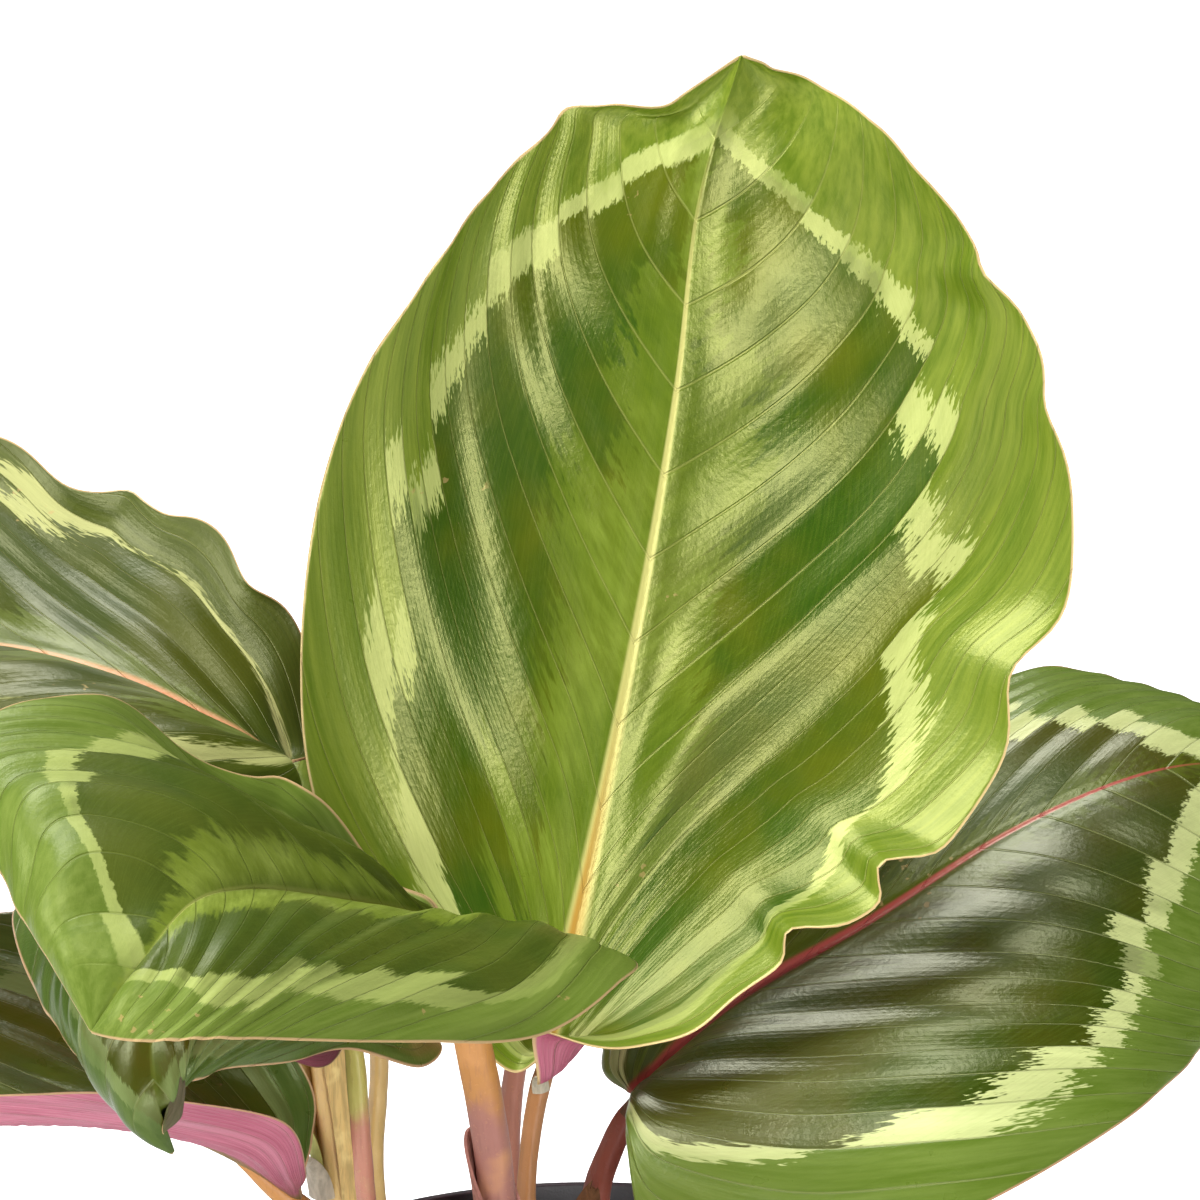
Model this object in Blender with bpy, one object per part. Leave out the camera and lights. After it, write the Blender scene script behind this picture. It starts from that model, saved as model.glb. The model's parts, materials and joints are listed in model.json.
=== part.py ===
"""Potted calathea: eight round patterned leaves on stalks that stand in the soil of a nursery pot.

Lengths are millimetres in the code and metres in Blender. +Z is up, the big centre leaf faces -Y,
and the origin is the middle of the pot's underside.
"""

import math

import bpy
import numpy as np
from mathutils import Vector

MM = 0.001

# Pot: a thin turned nursery pot with a rolled rim and drainage holes
POT_HEIGHT = 90.0
POT_RIM_RADIUS = 53.0
POT_FOOT_RADIUS = 37.0
POT_WALL = 1.2
POT_FLOOR = 1.6
RIM_BAND = 10.0
RIM_STEP = 1.8
RIM_STEP_RISE = 0.6
RIM_LIP = 0.5
RIM_BEVEL = 1.0
FOOT_BEVEL = 1.0
POT_SIDES = 56
DRAIN_COUNT = 6
DRAIN_RING = 24.0
DRAIN_RADIUS = 4.0
DRAIN_SIDES = 12

# Soil
SOIL_TOP = 80.0
SOIL_DOME = 1.5
SOIL_SHOULDER = 3.0
SOIL_BEVEL = 1.2
SOIL_FLAT = 0.6
GAP = 0.3

# Leaf blades: rows crowd towards base and tip, and the keel under the spine thins to the tip
BLADE_THICK = 0.7
KEEL = 1.1
KEEL_TAPER = 0.6
BLADE_ROWS = 24
BLADE_COLUMNS = 5
ROW_CROWDING = 0.1
END_CLEAR = 0.04
EDGE_POINTS = 8
LINE_POINTS = 400

# Outline of a grown leaf: a sine over the spine's length, widest before its middle and blunted,
# whose edges near the base are drawn back behind it as lobes
OUTLINE_SKEW = 0.82
OUTLINE_BLUNT = 0.62
LOBE_SHARE = 0.35
LOBE_FADE = 5

# Stalks, and the cutter of a stalk's hole, which follows the stalk for its length
STALK_SIDES = 8
STALK_RINGS = 13
HOLE_LENGTH = 21.0
HOLE_RINGS = 5
TIP_SHRINK = 0.72

GREEN = (0.060, 0.150, 0.025)
DARK_GREEN = (0.030, 0.080, 0.018)
PINK = (0.42, 0.14, 0.13)
YELLOW = (0.60, 0.50, 0.20)
ORANGE = (0.60, 0.30, 0.10)
POT_GREY = (0.055, 0.058, 0.060)
SOIL_BROWN = (0.030, 0.018, 0.010)
POT_ROUGHNESS = 0.45
SOIL_ROUGHNESS = 0.95
BLADE_ROUGHNESS = 0.35
STALK_ROUGHNESS = 0.45

# Each leaf: spine from base to tip, then the two edges, each with 8 points between base and tip.
# left and right are seen on the upper face with the tip up. A bow is (arch, wave) in mm from base
# to tip: how far the half rises between spine and edge, and how far it rises near the spine and
# dips near the edge. A flute is (side, place, span, lift, draw): where an edge lifts and draws in.
# The stalk is its path from the soil up to the leaf, with its radius from foot to top; it stops
# short of the leaf's base point by its seat.
LEAVES = {
    "centre": {
        "color": GREEN,
        "spine": [(-6, -6, 132), (-1, -2, 154), (4, 3, 177), (9, 8, 203), (13, 13, 228),
                  (16, 18, 253), (22, 20, 274)],
        "left": [(-12, -8, 131), (-23, -8, 145), (-36, -2, 160), (-41, 0, 185), (-36, 5, 221),
                 (-20, 10, 248), (-3, 20, 265), (11, 22, 267)],
        "right": [(-6, -14, 130), (9, -16, 138), (30, -14, 150), (52, -8, 165), (69, 2, 198),
                  (64, 8, 235), (45, 14, 261), (33, 20, 270)],
        "bow_left": [(-3, 0), (-6, 0), (-6, 0), (-2, 0)],
        "bow_right": [(-5, 0), (-8, 0), (-7, 0), (-2, 0)],
        "flutes": [(1, 0.15, 0.035, 5, 7), (1, 0.25, 0.03, 0, -2), (1, 0.345, 0.015, 1, 4),
                   (1, 0.415, 0.014, 1, 5), (1, 0.52, 0.02, 1, 5), (1, 0.635, 0.015, 0, 1.5),
                   (1, 0.70, 0.012, 1, 2), (1, 0.94, 0.02, 0, 1.2), (-1, 0.79, 0.02, 0, -1.5),
                   (-1, 0.88, 0.03, 1, 1.5)],
        "stalk_color": ORANGE,
        "stalk": [(-7, -7, 67), (-8, -8, 90), (-9, -8, 110), (-8, -7, 122), (-6, -6, 132)],
        "radius": [2.0, 1.7, 1.5, 1.4, 1.6],
        "seat": 1.7,
    },
    "right": {
        "color": DARK_GREEN,
        "spine": [(7, -4, 125), (22, 4, 137), (42, 14, 146), (62, 24, 156), (80, 32, 162),
                  (94, 38, 163), (107, 42, 160)],
        "left": [(2, 6, 127), (8, 26, 136), (26, 44, 149), (46, 54, 164), (69, 62, 171),
                 (84, 62, 169), (96, 54, 167), (103, 48, 163)],
        "right": [(6, -18, 121), (10, -28, 112), (29, -34, 110), (53, -30, 117), (77, -14, 125),
                  (91, 4, 131), (101, 20, 141), (106, 32, 150)],
        "bow_left": [(2, 0), (3, 0), (3, 0), (1, 0)],
        "bow_right": [(4, 0), (6, 0), (6, 0), (2, 0)],
        "flutes": [],
        "stalk_color": PINK,
        "stalk": [(2, 0, 67), (1, -1, 90), (1, -2, 108), (4, -3, 118), (7, -4, 125)],
        "radius": [3.4, 3.2, 2.8, 2.0, 1.7],
        "seat": 1.0,
    },
    "left_back": {
        "color": GREEN,
        "spine": [(-43, -2, 175), (-54, 2, 180), (-68, 8, 185), (-86, 14, 188), (-105, 20, 186),
                  (-124, 24, 180), (-139, 26, 171)],
        "left": [(-41, -6, 172), (-46, -14, 169), (-56, -22, 168), (-74, -22, 170),
                 (-95, -18, 174), (-114, -8, 175), (-127, 6, 175), (-134, 16, 173)],
        "right": [(-39, 14, 174), (-43, 26, 188), (-55, 36, 200), (-71, 44, 204), (-93, 52, 211),
                  (-115, 52, 202), (-129, 42, 188), (-136, 34, 179)],
        "bow_left": [(3, 0), (8, 0), (8, 0), (3, 0)],
        "bow_right": [(-1, 0), (-3, 0), (-3, 0), (-1, 0)],
        "flutes": [(1, 0.285, 0.03, 0, 4), (1, 0.39, 0.022, 0, 1.5), (1, 0.435, 0.014, 0, -1.5),
                   (1, 0.48, 0.03, 0, 3.5)],
        "stalk_color": YELLOW,
        "stalk": [(-33, 4, 67), (-35, 4, 95), (-38, 5, 124), (-42, 2, 152), (-43, -2, 175)],
        "seat": 2.0,
        "radius": [3.8, 3.6, 3.3, 1.9, 1.6],
    },
    "front": {
        "color": GREEN,
        "spine": [(-20, -24, 157), (-27, -40, 165), (-36, -58, 173), (-44, -76, 180),
                  (-50, -94, 184), (-55, -110, 182), (-61, -118, 175)],
        "left": [(5, -38, 158), (4, -56, 160), (-6, -76, 160), (-21, -96, 166), (-36, -112, 172),
                 (-46, -120, 175), (-54, -121, 175), (-58, -120, 175)],
        "right": [(-22, -22, 161), (-29, -20, 164), (-38, -24, 177), (-52, -32, 184),
                  (-66, -46, 198), (-83, -70, 198), (-73, -98, 187), (-67, -110, 182)],
        "bow_left": [(3, 0), (5, 0), (4, 0), (1, 0)],
        "bow_right": [(0, 2), (-2, 4), (3, 3), (5, -1), (1, 0)],
        "flutes": [(1, 0.49, 0.03, 0, 2.5), (1, 0.37, 0.02, 0, -1.5)],
        "stalk_color": PINK,
        "stalk": [(-12, -14, 67), (-13, -16, 92), (-13, -18, 116), (-16, -21, 138), (-20, -24, 157)],
        "radius": [3.4, 3.1, 2.7, 2.7, 2.2],
        "seat": 1.5,
    },
    "low_front": {
        "color": DARK_GREEN,
        "spine": [(-33, -24, 142), (-37, -42, 153), (-42, -60, 163), (-49, -78, 169),
                  (-55, -92, 168), (-55, -98, 160), (-53, -96, 151)],
        "left": [(-21, -28, 142), (-23, -44, 144), (-32, -62, 153), (-39, -78, 157),
                 (-47, -90, 160), (-52, -97, 160), (-54, -98, 156), (-54, -97, 153)],
        "right": [(-40, -8, 131), (-57, -8, 141), (-69, -18, 155), (-79, -34, 164),
                  (-75, -60, 163), (-69, -78, 161), (-61, -90, 156), (-56, -95, 153)],
        "bow_left": [(3, 0), (5, 0), (5, 0), (2, 0)],
        "bow_right": [(3, 0), (6, 0), (6, 0), (2, 0)],
        "flutes": [],
        "stalk_color": PINK,
        "stalk": [(-27, -17, 67), (-29, -20, 90), (-31, -23, 110), (-32, -26, 126), (-33, -25, 142)],
        "radius": [2.0, 1.7, 1.5, 1.4, 1.5],
        "seat": 2.2,
    },
    "low_left": {
        "color": DARK_GREEN,
        "spine": [(-42, -14, 114), (-52, -17, 122), (-65, -22, 129), (-83, -28, 133),
                  (-100, -36, 135), (-117, -44, 133), (-133, -50, 127)],
        "left": [(-40, -26, 122), (-42, -44, 136), (-55, -58, 144), (-70, -68, 149),
                 (-88, -74, 150), (-105, -72, 145), (-118, -62, 136), (-127, -55, 130)],
        "right": [(-40, -8, 120), (-41, -3, 128), (-54, 10, 140), (-75, 12, 148), (-95, 6, 148),
                  (-112, -4, 144), (-125, -22, 137), (-130, -38, 131)],
        "bow_left": [(-2, 0), (-3, 0), (-3, 0), (-1, 0)],
        "bow_right": [(-2, 0), (-3, 0), (-3, 0), (-1, 0)],
        "flutes": [],
        "stalk_color": ORANGE,
        "stalk": [(-38, -12, 67), (-37, -12, 82), (-36, -12, 96), (-38, -13, 106), (-42, -14, 114)],
        "radius": [2.4, 2.2, 2.0, 2.0, 2.1],
        "seat": 1.0,
    },
    "back": {
        "color": DARK_GREEN,
        "spine": [(3, 18, 150), (5, 40, 167), (8, 62, 177), (12, 84, 181), (15, 104, 178),
                  (17, 122, 170), (18, 136, 158)],
        "grown": {"width": 44, "facing": (0, -0.1, 1), "lift": 12},
        "bow_left": [(2, 0), (3, 0), (2, 0)],
        "bow_right": [(2, 0), (3, 0), (2, 0)],
        "flutes": [(-1, 0.40, 0.05, 2, 1), (1, 0.55, 0.05, 2, 1), (1, 0.30, 0.05, -2, 1)],
        "stalk_color": PINK,
        "stalk": [(-9, 15, 67), (-10, 14, 88), (-12, 14, 108), (-9, 15, 130), (3, 18, 150)],
        "seat": 1.6,
        "radius": [2.6, 2.2, 1.8, 1.6, 1.7],
    },
    "back_left": {
        "color": DARK_GREEN,
        "spine": [(-32, 14, 142), (-39, 31, 151), (-47, 50, 156), (-55, 69, 157), (-63, 88, 152),
                  (-70, 104, 142), (-76, 116, 128)],
        "grown": {"width": 39, "facing": (0, 0, 1), "lift": 8},
        "bow_left": [(2, 0), (3, 0), (2, 0)],
        "bow_right": [(2, 0), (3, 0), (2, 0)],
        "flutes": [(-1, 0.50, 0.05, 2, 1), (1, 0.40, 0.05, 2, 1), (1, 0.65, 0.05, -2, 1)],
        "stalk_color": YELLOW,
        "stalk": [(-28, 13, 67), (-30, 12, 87), (-32, 11, 108), (-31, 12, 124), (-32, 14, 142)],
        "seat": 1.6,
        "radius": [2.2, 1.9, 1.6, 1.5, 1.6],
    },
}


def clear_scene():
    for item in list(bpy.data.objects):
        bpy.data.objects.remove(item)


def material(name, color, roughness):
    made = bpy.data.materials.new(name)
    made.use_nodes = True
    shader = made.node_tree.nodes["Principled BSDF"]
    shader.inputs["Base Color"].default_value = (*color, 1.0)
    shader.inputs["Roughness"].default_value = roughness
    shader.inputs["Metallic"].default_value = 0.0
    return made


def add_piece(name, points, faces, look, smooth_angle=50.0):
    """A mesh object from points in millimetres."""
    mesh = bpy.data.meshes.new(name)
    mesh.from_pydata([tuple(np.asarray(point) * MM) for point in points], [], faces)
    mesh.materials.append(look)
    mesh.shade_smooth()
    mesh.set_sharp_from_angle(angle=math.radians(smooth_angle))
    piece = bpy.data.objects.new(name, mesh)
    bpy.context.scene.collection.objects.link(piece)
    return piece


def cut(piece, cutters):
    """Takes the cutters out of the piece, each with its own Boolean."""
    for cutter in cutters:
        cutter.hide_render = True
        cutter.display_type = "WIRE"
        step = piece.modifiers.new("cut " + cutter.name, "BOOLEAN")
        step.operation = "DIFFERENCE"
        step.solver = "MANIFOLD"
        step.object = cutter


def through(values, at):
    """Smooth curve through evenly spaced values, read at places from 0 (first) to 1 (last)."""
    values = np.asarray(values, float)
    before = 2 * values[0] - values[1]
    after = 2 * values[-1] - values[-2]
    padded = np.concatenate([[before], values, [after]])
    place = np.clip(np.asarray(at, float), 0.0, 1.0) * (len(values) - 1)
    first = np.clip(np.floor(place).astype(int), 0, len(values) - 2)
    t = place - first
    if values.ndim > 1:
        t = t[..., None]
    p0, p1, p2, p3 = (padded[first + k] for k in range(4))
    curve = 2 * p1 + (p2 - p0) * t
    curve += (2 * p0 - 5 * p1 + 4 * p2 - p3) * t**2
    curve += (3 * p1 - p0 - 3 * p2 + p3) * t**3
    return curve / 2


def unit(vectors):
    return vectors / np.maximum(np.linalg.norm(vectors, axis=-1, keepdims=True), 1e-9)


class Line:
    """A smooth line through points, read by its share of length."""

    def __init__(self, points):
        self.dense = through(points, np.linspace(0, 1, LINE_POINTS))
        steps = np.linalg.norm(np.diff(self.dense, axis=0), axis=1)
        along = np.concatenate([[0], np.cumsum(steps)])
        self.length = along[-1]
        self.share = along / self.length

    def at(self, share):
        share = np.clip(np.asarray(share, float), 0, 1)
        return np.stack([np.interp(share, self.share, self.dense[:, k]) for k in range(3)], -1)

    def tangent(self, share, reach=0.02):
        share = np.asarray(share, float)
        return unit(self.at(share + reach) - self.at(share - reach))


def spine_share(u):
    """Share of the spine's length at row u: rows crowd towards the base and the tip."""
    return u - ROW_CROWDING * np.sin(2 * np.pi * u)


def grown_edges(spine, width, facing, lift):
    """Edges of a leaf from the usual round outline, with lobes behind the base."""
    u = np.arange(1, EDGE_POINTS + 1) / (EDGE_POINTS + 1)
    share = spine_share(u)
    middle = spine.at(share)
    forward = spine.tangent(share)
    facing = np.asarray(facing, float)
    up = unit(facing - forward * (forward @ facing)[:, None])
    across = np.cross(forward, up)
    half = width * np.sin(np.pi * share**OUTLINE_SKEW) ** OUTLINE_BLUNT
    back = LOBE_SHARE * width * (1 - u) ** LOBE_FADE
    flat, rise = math.cos(math.radians(lift)), math.sin(math.radians(lift))
    edges = {}
    for side in (-1, 1):
        edges[side] = middle + (across * side * flat + up * rise) * half[:, None]
        edges[side] -= forward * back[:, None]
    return edges


class Leaf:
    """The curved surface of a leaf. u runs from base to tip, r from the spine to an edge."""

    def __init__(self, sizes):
        self.spine = Line(sizes["spine"])
        base, tip = self.spine.at(0.0), self.spine.at(1.0)
        if "grown" in sizes:
            edges = grown_edges(self.spine, **sizes["grown"])
        else:
            edges = {-1: sizes["left"], 1: sizes["right"]}
        self.edge = {side: np.array([base, *edges[side], tip], float) for side in edges}
        self.bow = {-1: sizes["bow_left"], 1: sizes["bow_right"]}
        self.flutes = sizes["flutes"]

    def surface(self, u, r, side):
        u = np.asarray(u, float)
        r = np.asarray(r, float)
        start = self.spine.at(spine_share(u))
        end = through(self.edge[side], u)
        # Off the two ends, where spine and edge meet, a normal can be told
        clear = np.clip(u, END_CLEAR, 1 - END_CLEAR)
        reach = through(self.edge[side], clear) - self.spine.at(spine_share(clear))
        up = unit(np.cross(self.spine.tangent(spine_share(clear)), reach)) * -side
        arch, wave = np.moveaxis(through(self.bow[side], u), -1, 0)
        rise = (arch * 4 * r * (1 - r) + wave * np.sin(2 * np.pi * r)) * np.sin(np.pi * u) ** 0.5
        point = start + (end - start) * r[..., None] + up * rise[..., None]
        outward = unit(end - start)
        for flute_side, place, span, lift, draw in self.flutes:
            if flute_side == side:
                share = np.exp(-(((u - place) / span) ** 2)) * r**4
                point += up * (share * lift)[..., None] - outward * (share * draw)[..., None]
        return point


def blade_grid(leaf):
    """Points of a leaf's middle surface: rows from base to tip, columns from left to right."""
    u = np.linspace(0, 1, BLADE_ROWS + 1)
    r = np.linspace(0, 1, BLADE_COLUMNS + 1)
    rows, columns = np.meshgrid(u, r, indexing="ij")
    left = leaf.surface(rows, columns, -1)
    right = leaf.surface(rows, columns, 1)
    return np.concatenate([left[:, :0:-1], right], axis=1)


def grid_normals(grid):
    along = np.gradient(grid, axis=0)
    across = np.gradient(grid, axis=1)
    return unit(np.cross(across, along))


def blade_piece(name, leaf, look):
    """A closed thin blade with a keel under its spine and the same triangles on both faces."""
    grid = blade_grid(leaf)
    normals = grid_normals(grid)
    normals[0] = normals[1, BLADE_COLUMNS]
    normals[-1] = normals[-2, BLADE_COLUMNS]
    top = grid + normals * BLADE_THICK / 2
    bottom = grid - normals * BLADE_THICK / 2
    keel = KEEL * (1 - np.linspace(0, 1, BLADE_ROWS + 1)) ** KEEL_TAPER
    bottom[:, BLADE_COLUMNS] -= normals[:, BLADE_COLUMNS] * keel[:, None]

    width = 2 * BLADE_COLUMNS + 1
    points, index = [], {}
    for face, layer in enumerate((top, bottom)):
        for row in range(BLADE_ROWS + 1):
            for column in range(width):
                pole = row in (0, BLADE_ROWS)
                if pole and column != BLADE_COLUMNS:
                    continue
                index[face, row, column] = len(points)
                points.append(layer[row, column])

    def spot(face, row, column):
        """The index of a point; the first and the last row are one point each."""
        return index[face, row, BLADE_COLUMNS if row in (0, BLADE_ROWS) else column]

    faces = []
    for face in (0, 1):
        for row in range(BLADE_ROWS):
            for column in range(width - 1):
                a, b = spot(face, row, column), spot(face, row, column + 1)
                c, d = spot(face, row + 1, column + 1), spot(face, row + 1, column)
                triangles = [(a, b, c), (a, c, d)] if column < BLADE_COLUMNS else [(a, b, d), (b, c, d)]
                for triangle in triangles:
                    if len(set(triangle)) == 3:
                        faces.append(triangle if face == 0 else triangle[::-1])
    for row in range(BLADE_ROWS):
        for column, turn in ((0, 1), (width - 1, -1)):
            a, b = spot(0, row, column), spot(0, row + 1, column)
            c, d = spot(1, row + 1, column), spot(1, row, column)
            for triangle in ((a, b, c), (a, c, d)):
                faces.append(triangle[::turn])
    return add_piece(name, points, faces, look, smooth_angle=60.0)


def tube_points(line, shares, radii, sides):
    """Rings of points along a line, carried along it without twist."""
    rings = []
    sideways = np.array([1.0, 0.0, 0.0])
    for share, radius in zip(shares, radii):
        forward = line.tangent(share, 0.03)
        sideways = unit(sideways - forward * (sideways @ forward))
        other = np.cross(forward, sideways)
        turn = np.linspace(0, 2 * np.pi, sides, endpoint=False)
        ring = sideways * np.cos(turn)[:, None] + other * np.sin(turn)[:, None]
        rings.append(line.at(share) + ring * radius)
    return rings


def tube_piece(name, rings, look):
    """A closed tube with flat ends."""
    sides = len(rings[0])
    points = [point for ring in rings for point in ring]
    faces = [tuple(range(sides))[::-1]]
    for k in range(len(rings) - 1):
        for j in range(sides):
            a, b = k * sides + j, k * sides + (j + 1) % sides
            faces.append((a, b, b + sides, a + sides))
    faces.append(tuple(range(len(points) - sides, len(points))))
    return add_piece(name, points, faces, look)


def stalk_piece(name, sizes, look):
    """A stalk from inside its hole in the soil up to just short of its leaf."""
    line = Line(sizes["stalk"])
    shares = np.linspace(0, 1 - sizes["seat"] / line.length, STALK_RINGS)
    radii = through(sizes["radius"], shares)
    radii[-1] *= TIP_SHRINK
    return tube_piece(name, tube_points(line, shares, radii, STALK_SIDES), look)


def stalk_hole(name, sizes, look):
    """The cutter of a stalk's hole: the stalk's own lower end, wider by the gap."""
    line = Line(sizes["stalk"])
    shares = np.linspace(0, HOLE_LENGTH / line.length, HOLE_RINGS)
    radii = through(sizes["radius"], shares) + GAP / math.cos(math.pi / STALK_SIDES)
    rings = tube_points(line, shares, radii, STALK_SIDES)
    rings[0] = rings[0] - line.tangent(0.0) * GAP
    return tube_piece(name, rings, look)


def turned_piece(name, profile, look):
    """A solid turned about Z from (radius, height) points that start and end on the axis."""
    turn = np.linspace(0, 2 * np.pi, POT_SIDES, endpoint=False)
    points = [(0, 0, profile[0][1])]
    for radius, height in profile[1:-1]:
        points += [(radius * math.cos(a), radius * math.sin(a), height) for a in turn]
    points.append((0, 0, profile[-1][1]))
    last = len(points) - 1
    faces = []
    for j in range(POT_SIDES):
        after = (j + 1) % POT_SIDES
        faces.append((0, 1 + after, 1 + j))
        for k in range(len(profile) - 3):
            a, b = 1 + k * POT_SIDES + j, 1 + k * POT_SIDES + after
            faces.append((a, b, b + POT_SIDES, a + POT_SIDES))
        ring = 1 + (len(profile) - 3) * POT_SIDES
        faces.append((ring + j, ring + after, last))
    return add_piece(name, points, faces, look, smooth_angle=35.0)


def wall_radius(height):
    """Outer radius of the pot's straight wall at a height."""
    top = POT_RIM_RADIUS - RIM_STEP
    return POT_FOOT_RADIUS + (top - POT_FOOT_RADIUS) * height / (POT_HEIGHT - RIM_BAND)


def pot():
    band = POT_HEIGHT - RIM_BAND
    inner_top = POT_RIM_RADIUS - POT_WALL
    profile = [
        (0, 0), (POT_FOOT_RADIUS - FOOT_BEVEL, 0), (wall_radius(FOOT_BEVEL), FOOT_BEVEL),
        (wall_radius(band), band), (POT_RIM_RADIUS, band + RIM_STEP_RISE),
        (POT_RIM_RADIUS + RIM_LIP, POT_HEIGHT - RIM_BEVEL), (POT_RIM_RADIUS, POT_HEIGHT),
        (inner_top, POT_HEIGHT), (inner_top - RIM_LIP, POT_HEIGHT - RIM_BEVEL),
        (wall_radius(band) - POT_WALL, band),
        (wall_radius(POT_FLOOR + FOOT_BEVEL) - POT_WALL, POT_FLOOR + FOOT_BEVEL),
        (wall_radius(POT_FLOOR) - POT_WALL - FOOT_BEVEL, POT_FLOOR), (0, POT_FLOOR),
    ]
    piece = turned_piece("pot", profile, material("pot_plastic", POT_GREY, POT_ROUGHNESS))
    cutters = []
    for k in range(DRAIN_COUNT):
        angle = 2 * math.pi * (k + 0.5) / DRAIN_COUNT
        bpy.ops.mesh.primitive_cylinder_add(
            vertices=DRAIN_SIDES, radius=DRAIN_RADIUS * MM, depth=6 * POT_FLOOR * MM
        )
        cutter = bpy.context.object
        cutter.name = f"drain_cutter_{k + 1}"
        cutter.location = Vector((math.cos(angle), math.sin(angle), 0)) * DRAIN_RING * MM
        cutters.append(cutter)
    cut(piece, cutters)


def soil():
    """Soil that fills the pot to below its rim, with a plain hole for each stalk."""
    bottom = POT_FLOOR + GAP
    inset = POT_WALL + GAP
    profile = [
        (0, bottom), (wall_radius(bottom) - inset - SOIL_BEVEL, bottom),
        (wall_radius(bottom + SOIL_BEVEL) - inset, bottom + SOIL_BEVEL),
        (wall_radius(SOIL_TOP - SOIL_SHOULDER) - inset, SOIL_TOP - SOIL_SHOULDER),
        (wall_radius(SOIL_TOP) - inset - SOIL_SHOULDER, SOIL_TOP - SOIL_BEVEL),
        (SOIL_FLAT * POT_RIM_RADIUS, SOIL_TOP), (0, SOIL_TOP + SOIL_DOME),
    ]
    look = material("soil_brown", SOIL_BROWN, SOIL_ROUGHNESS)
    piece = turned_piece("soil", profile, look)
    cut(piece, [stalk_hole(f"hole_{name}", sizes, look) for name, sizes in LEAVES.items()])


def leaves():
    for name, sizes in LEAVES.items():
        blade_look = material(f"blade_{name}", sizes["color"], BLADE_ROUGHNESS)
        stalk_look = material(f"stalk_{name}", sizes["stalk_color"], STALK_ROUGHNESS)
        blade_piece(f"blade_{name}", Leaf(sizes), blade_look)
        stalk_piece(f"stalk_{name}", sizes, stalk_look)


def main():
    clear_scene()
    pot()
    soil()
    leaves()


main()
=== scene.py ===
"""Looks of the potted calathea, laid out as a Blender add-on and run as a script.

Shapes are worked out in millimetres and stored in metres, in the frame of the CAD model: +Z is up
and the big centre leaf faces -Y. Each finer piece stands for the CAD node of the same name.
"""

import json
import math

import bpy
import numpy as np
from bpy.props import FloatProperty, FloatVectorProperty, IntProperty, PointerProperty
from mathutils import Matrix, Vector


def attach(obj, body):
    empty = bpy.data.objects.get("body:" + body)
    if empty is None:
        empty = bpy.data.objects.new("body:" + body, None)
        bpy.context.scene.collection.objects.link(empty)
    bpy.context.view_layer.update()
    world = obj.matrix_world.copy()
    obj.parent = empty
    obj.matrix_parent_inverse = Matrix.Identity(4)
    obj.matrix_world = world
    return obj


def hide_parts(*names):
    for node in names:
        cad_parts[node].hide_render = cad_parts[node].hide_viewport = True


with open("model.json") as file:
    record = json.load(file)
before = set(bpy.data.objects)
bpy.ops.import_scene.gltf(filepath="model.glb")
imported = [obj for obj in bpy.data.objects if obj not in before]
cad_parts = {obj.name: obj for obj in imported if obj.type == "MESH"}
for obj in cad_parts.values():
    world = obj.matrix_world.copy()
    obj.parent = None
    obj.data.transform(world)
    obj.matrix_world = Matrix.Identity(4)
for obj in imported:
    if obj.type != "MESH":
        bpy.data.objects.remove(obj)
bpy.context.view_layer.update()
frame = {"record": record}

bl_info = {
    "name": "Potted Calathea",
    "version": (1, 0, 0),
    "blender": (4, 5, 0),
    "location": "View3D > Sidebar > Calathea",
    "description": "Builds the leaves, stalks, pot and soil of a potted calathea",
    "category": "Add Mesh",
}

MM = 0.001
SLOT_COLORS = {entry["slot"]: entry["base_color"] for entry in frame["record"]["materials"]}

# Camera at the photograph's viewing angle: its target in metres, its elevation in degrees, its
# sensor's width in millimetres and how far it sees in metres
CAMERA_TARGET = (0.0018, 0.0, 0.1988)
CAMERA_ELEVATION = 15.0
CAMERA_SENSOR = 36.0
CAMERA_SIGHT = 60.0

# Pot, as in the CAD model
POT_HEIGHT = 90.0
POT_RIM_RADIUS = 53.0
POT_FOOT_RADIUS = 37.0
POT_WALL = 1.2
POT_FLOOR = 1.6
RIM_BAND = 10.0
RIM_STEP = 1.8
RIM_LIP = 0.5
DRAIN_COUNT = 6
DRAIN_RING = 24.0
DRAIN_RADIUS = 4.0
SOIL_TOP = 80.0
SOIL_DOME = 1.5

# Fine moulding of the pot in millimetres: the hollow under its floor, how far the ring that it
# stands on lies inside the foot, the roundings of foot and band, and the rib round the band as
# (outwards, upwards) from the band's lower edge
FOOT_HOLLOW = 0.8
FOOT_RING = (6.0, 4.6, 1.4)
FOOT_ROUND = 1.2
BAND_ROUND = 0.6
BAND_RIB = ((0.1, 2.4), (0.28, 2.7), (0.28, 3.3), (0.12, 3.6))
WALL_FOOT = 4.0
POT_SHARP_ANGLE = 40.0

# Soil in millimetres: its play under and beside it, how far its edge lies below its top, and the low
# chance lumps there: how many, how wide, how high for their width, and how far the top may rise
SOIL_PLAY_UNDER = 0.3
SOIL_PLAY_BESIDE = 0.4
SOIL_EDGE_DROP = 1.0
SOIL_SIDES = 120
SOIL_TOP_RINGS = 44
SOIL_LUMPS = 260
LUMP_REACH = (1.2, 5.0)
LUMP_STEEPNESS = 0.16
TOP_RISE = (-2.0, 3.2)

# Grains on the soil: how far below the soil's edge they may lie in millimetres, the most that each is
# turned about each axis in radians, and the least share of its size along each axis
GRAIN_DROP = 1.4
GRAIN_TURN = (6.28, 6.28, 6.28)
GRAIN_LEAST = (0.30, 0.30, 0.25)

# Leaf surface, as in the CAD model: rows crowd towards base and tip
ROW_CROWDING = 0.1
END_CLEAR = 0.04
EDGE_POINTS = 8
LINE_POINTS = 400
OUTLINE_SKEW = 0.82
OUTLINE_BLUNT = 0.62
LOBE_SHARE = 0.35
LOBE_FADE = 5

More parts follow.
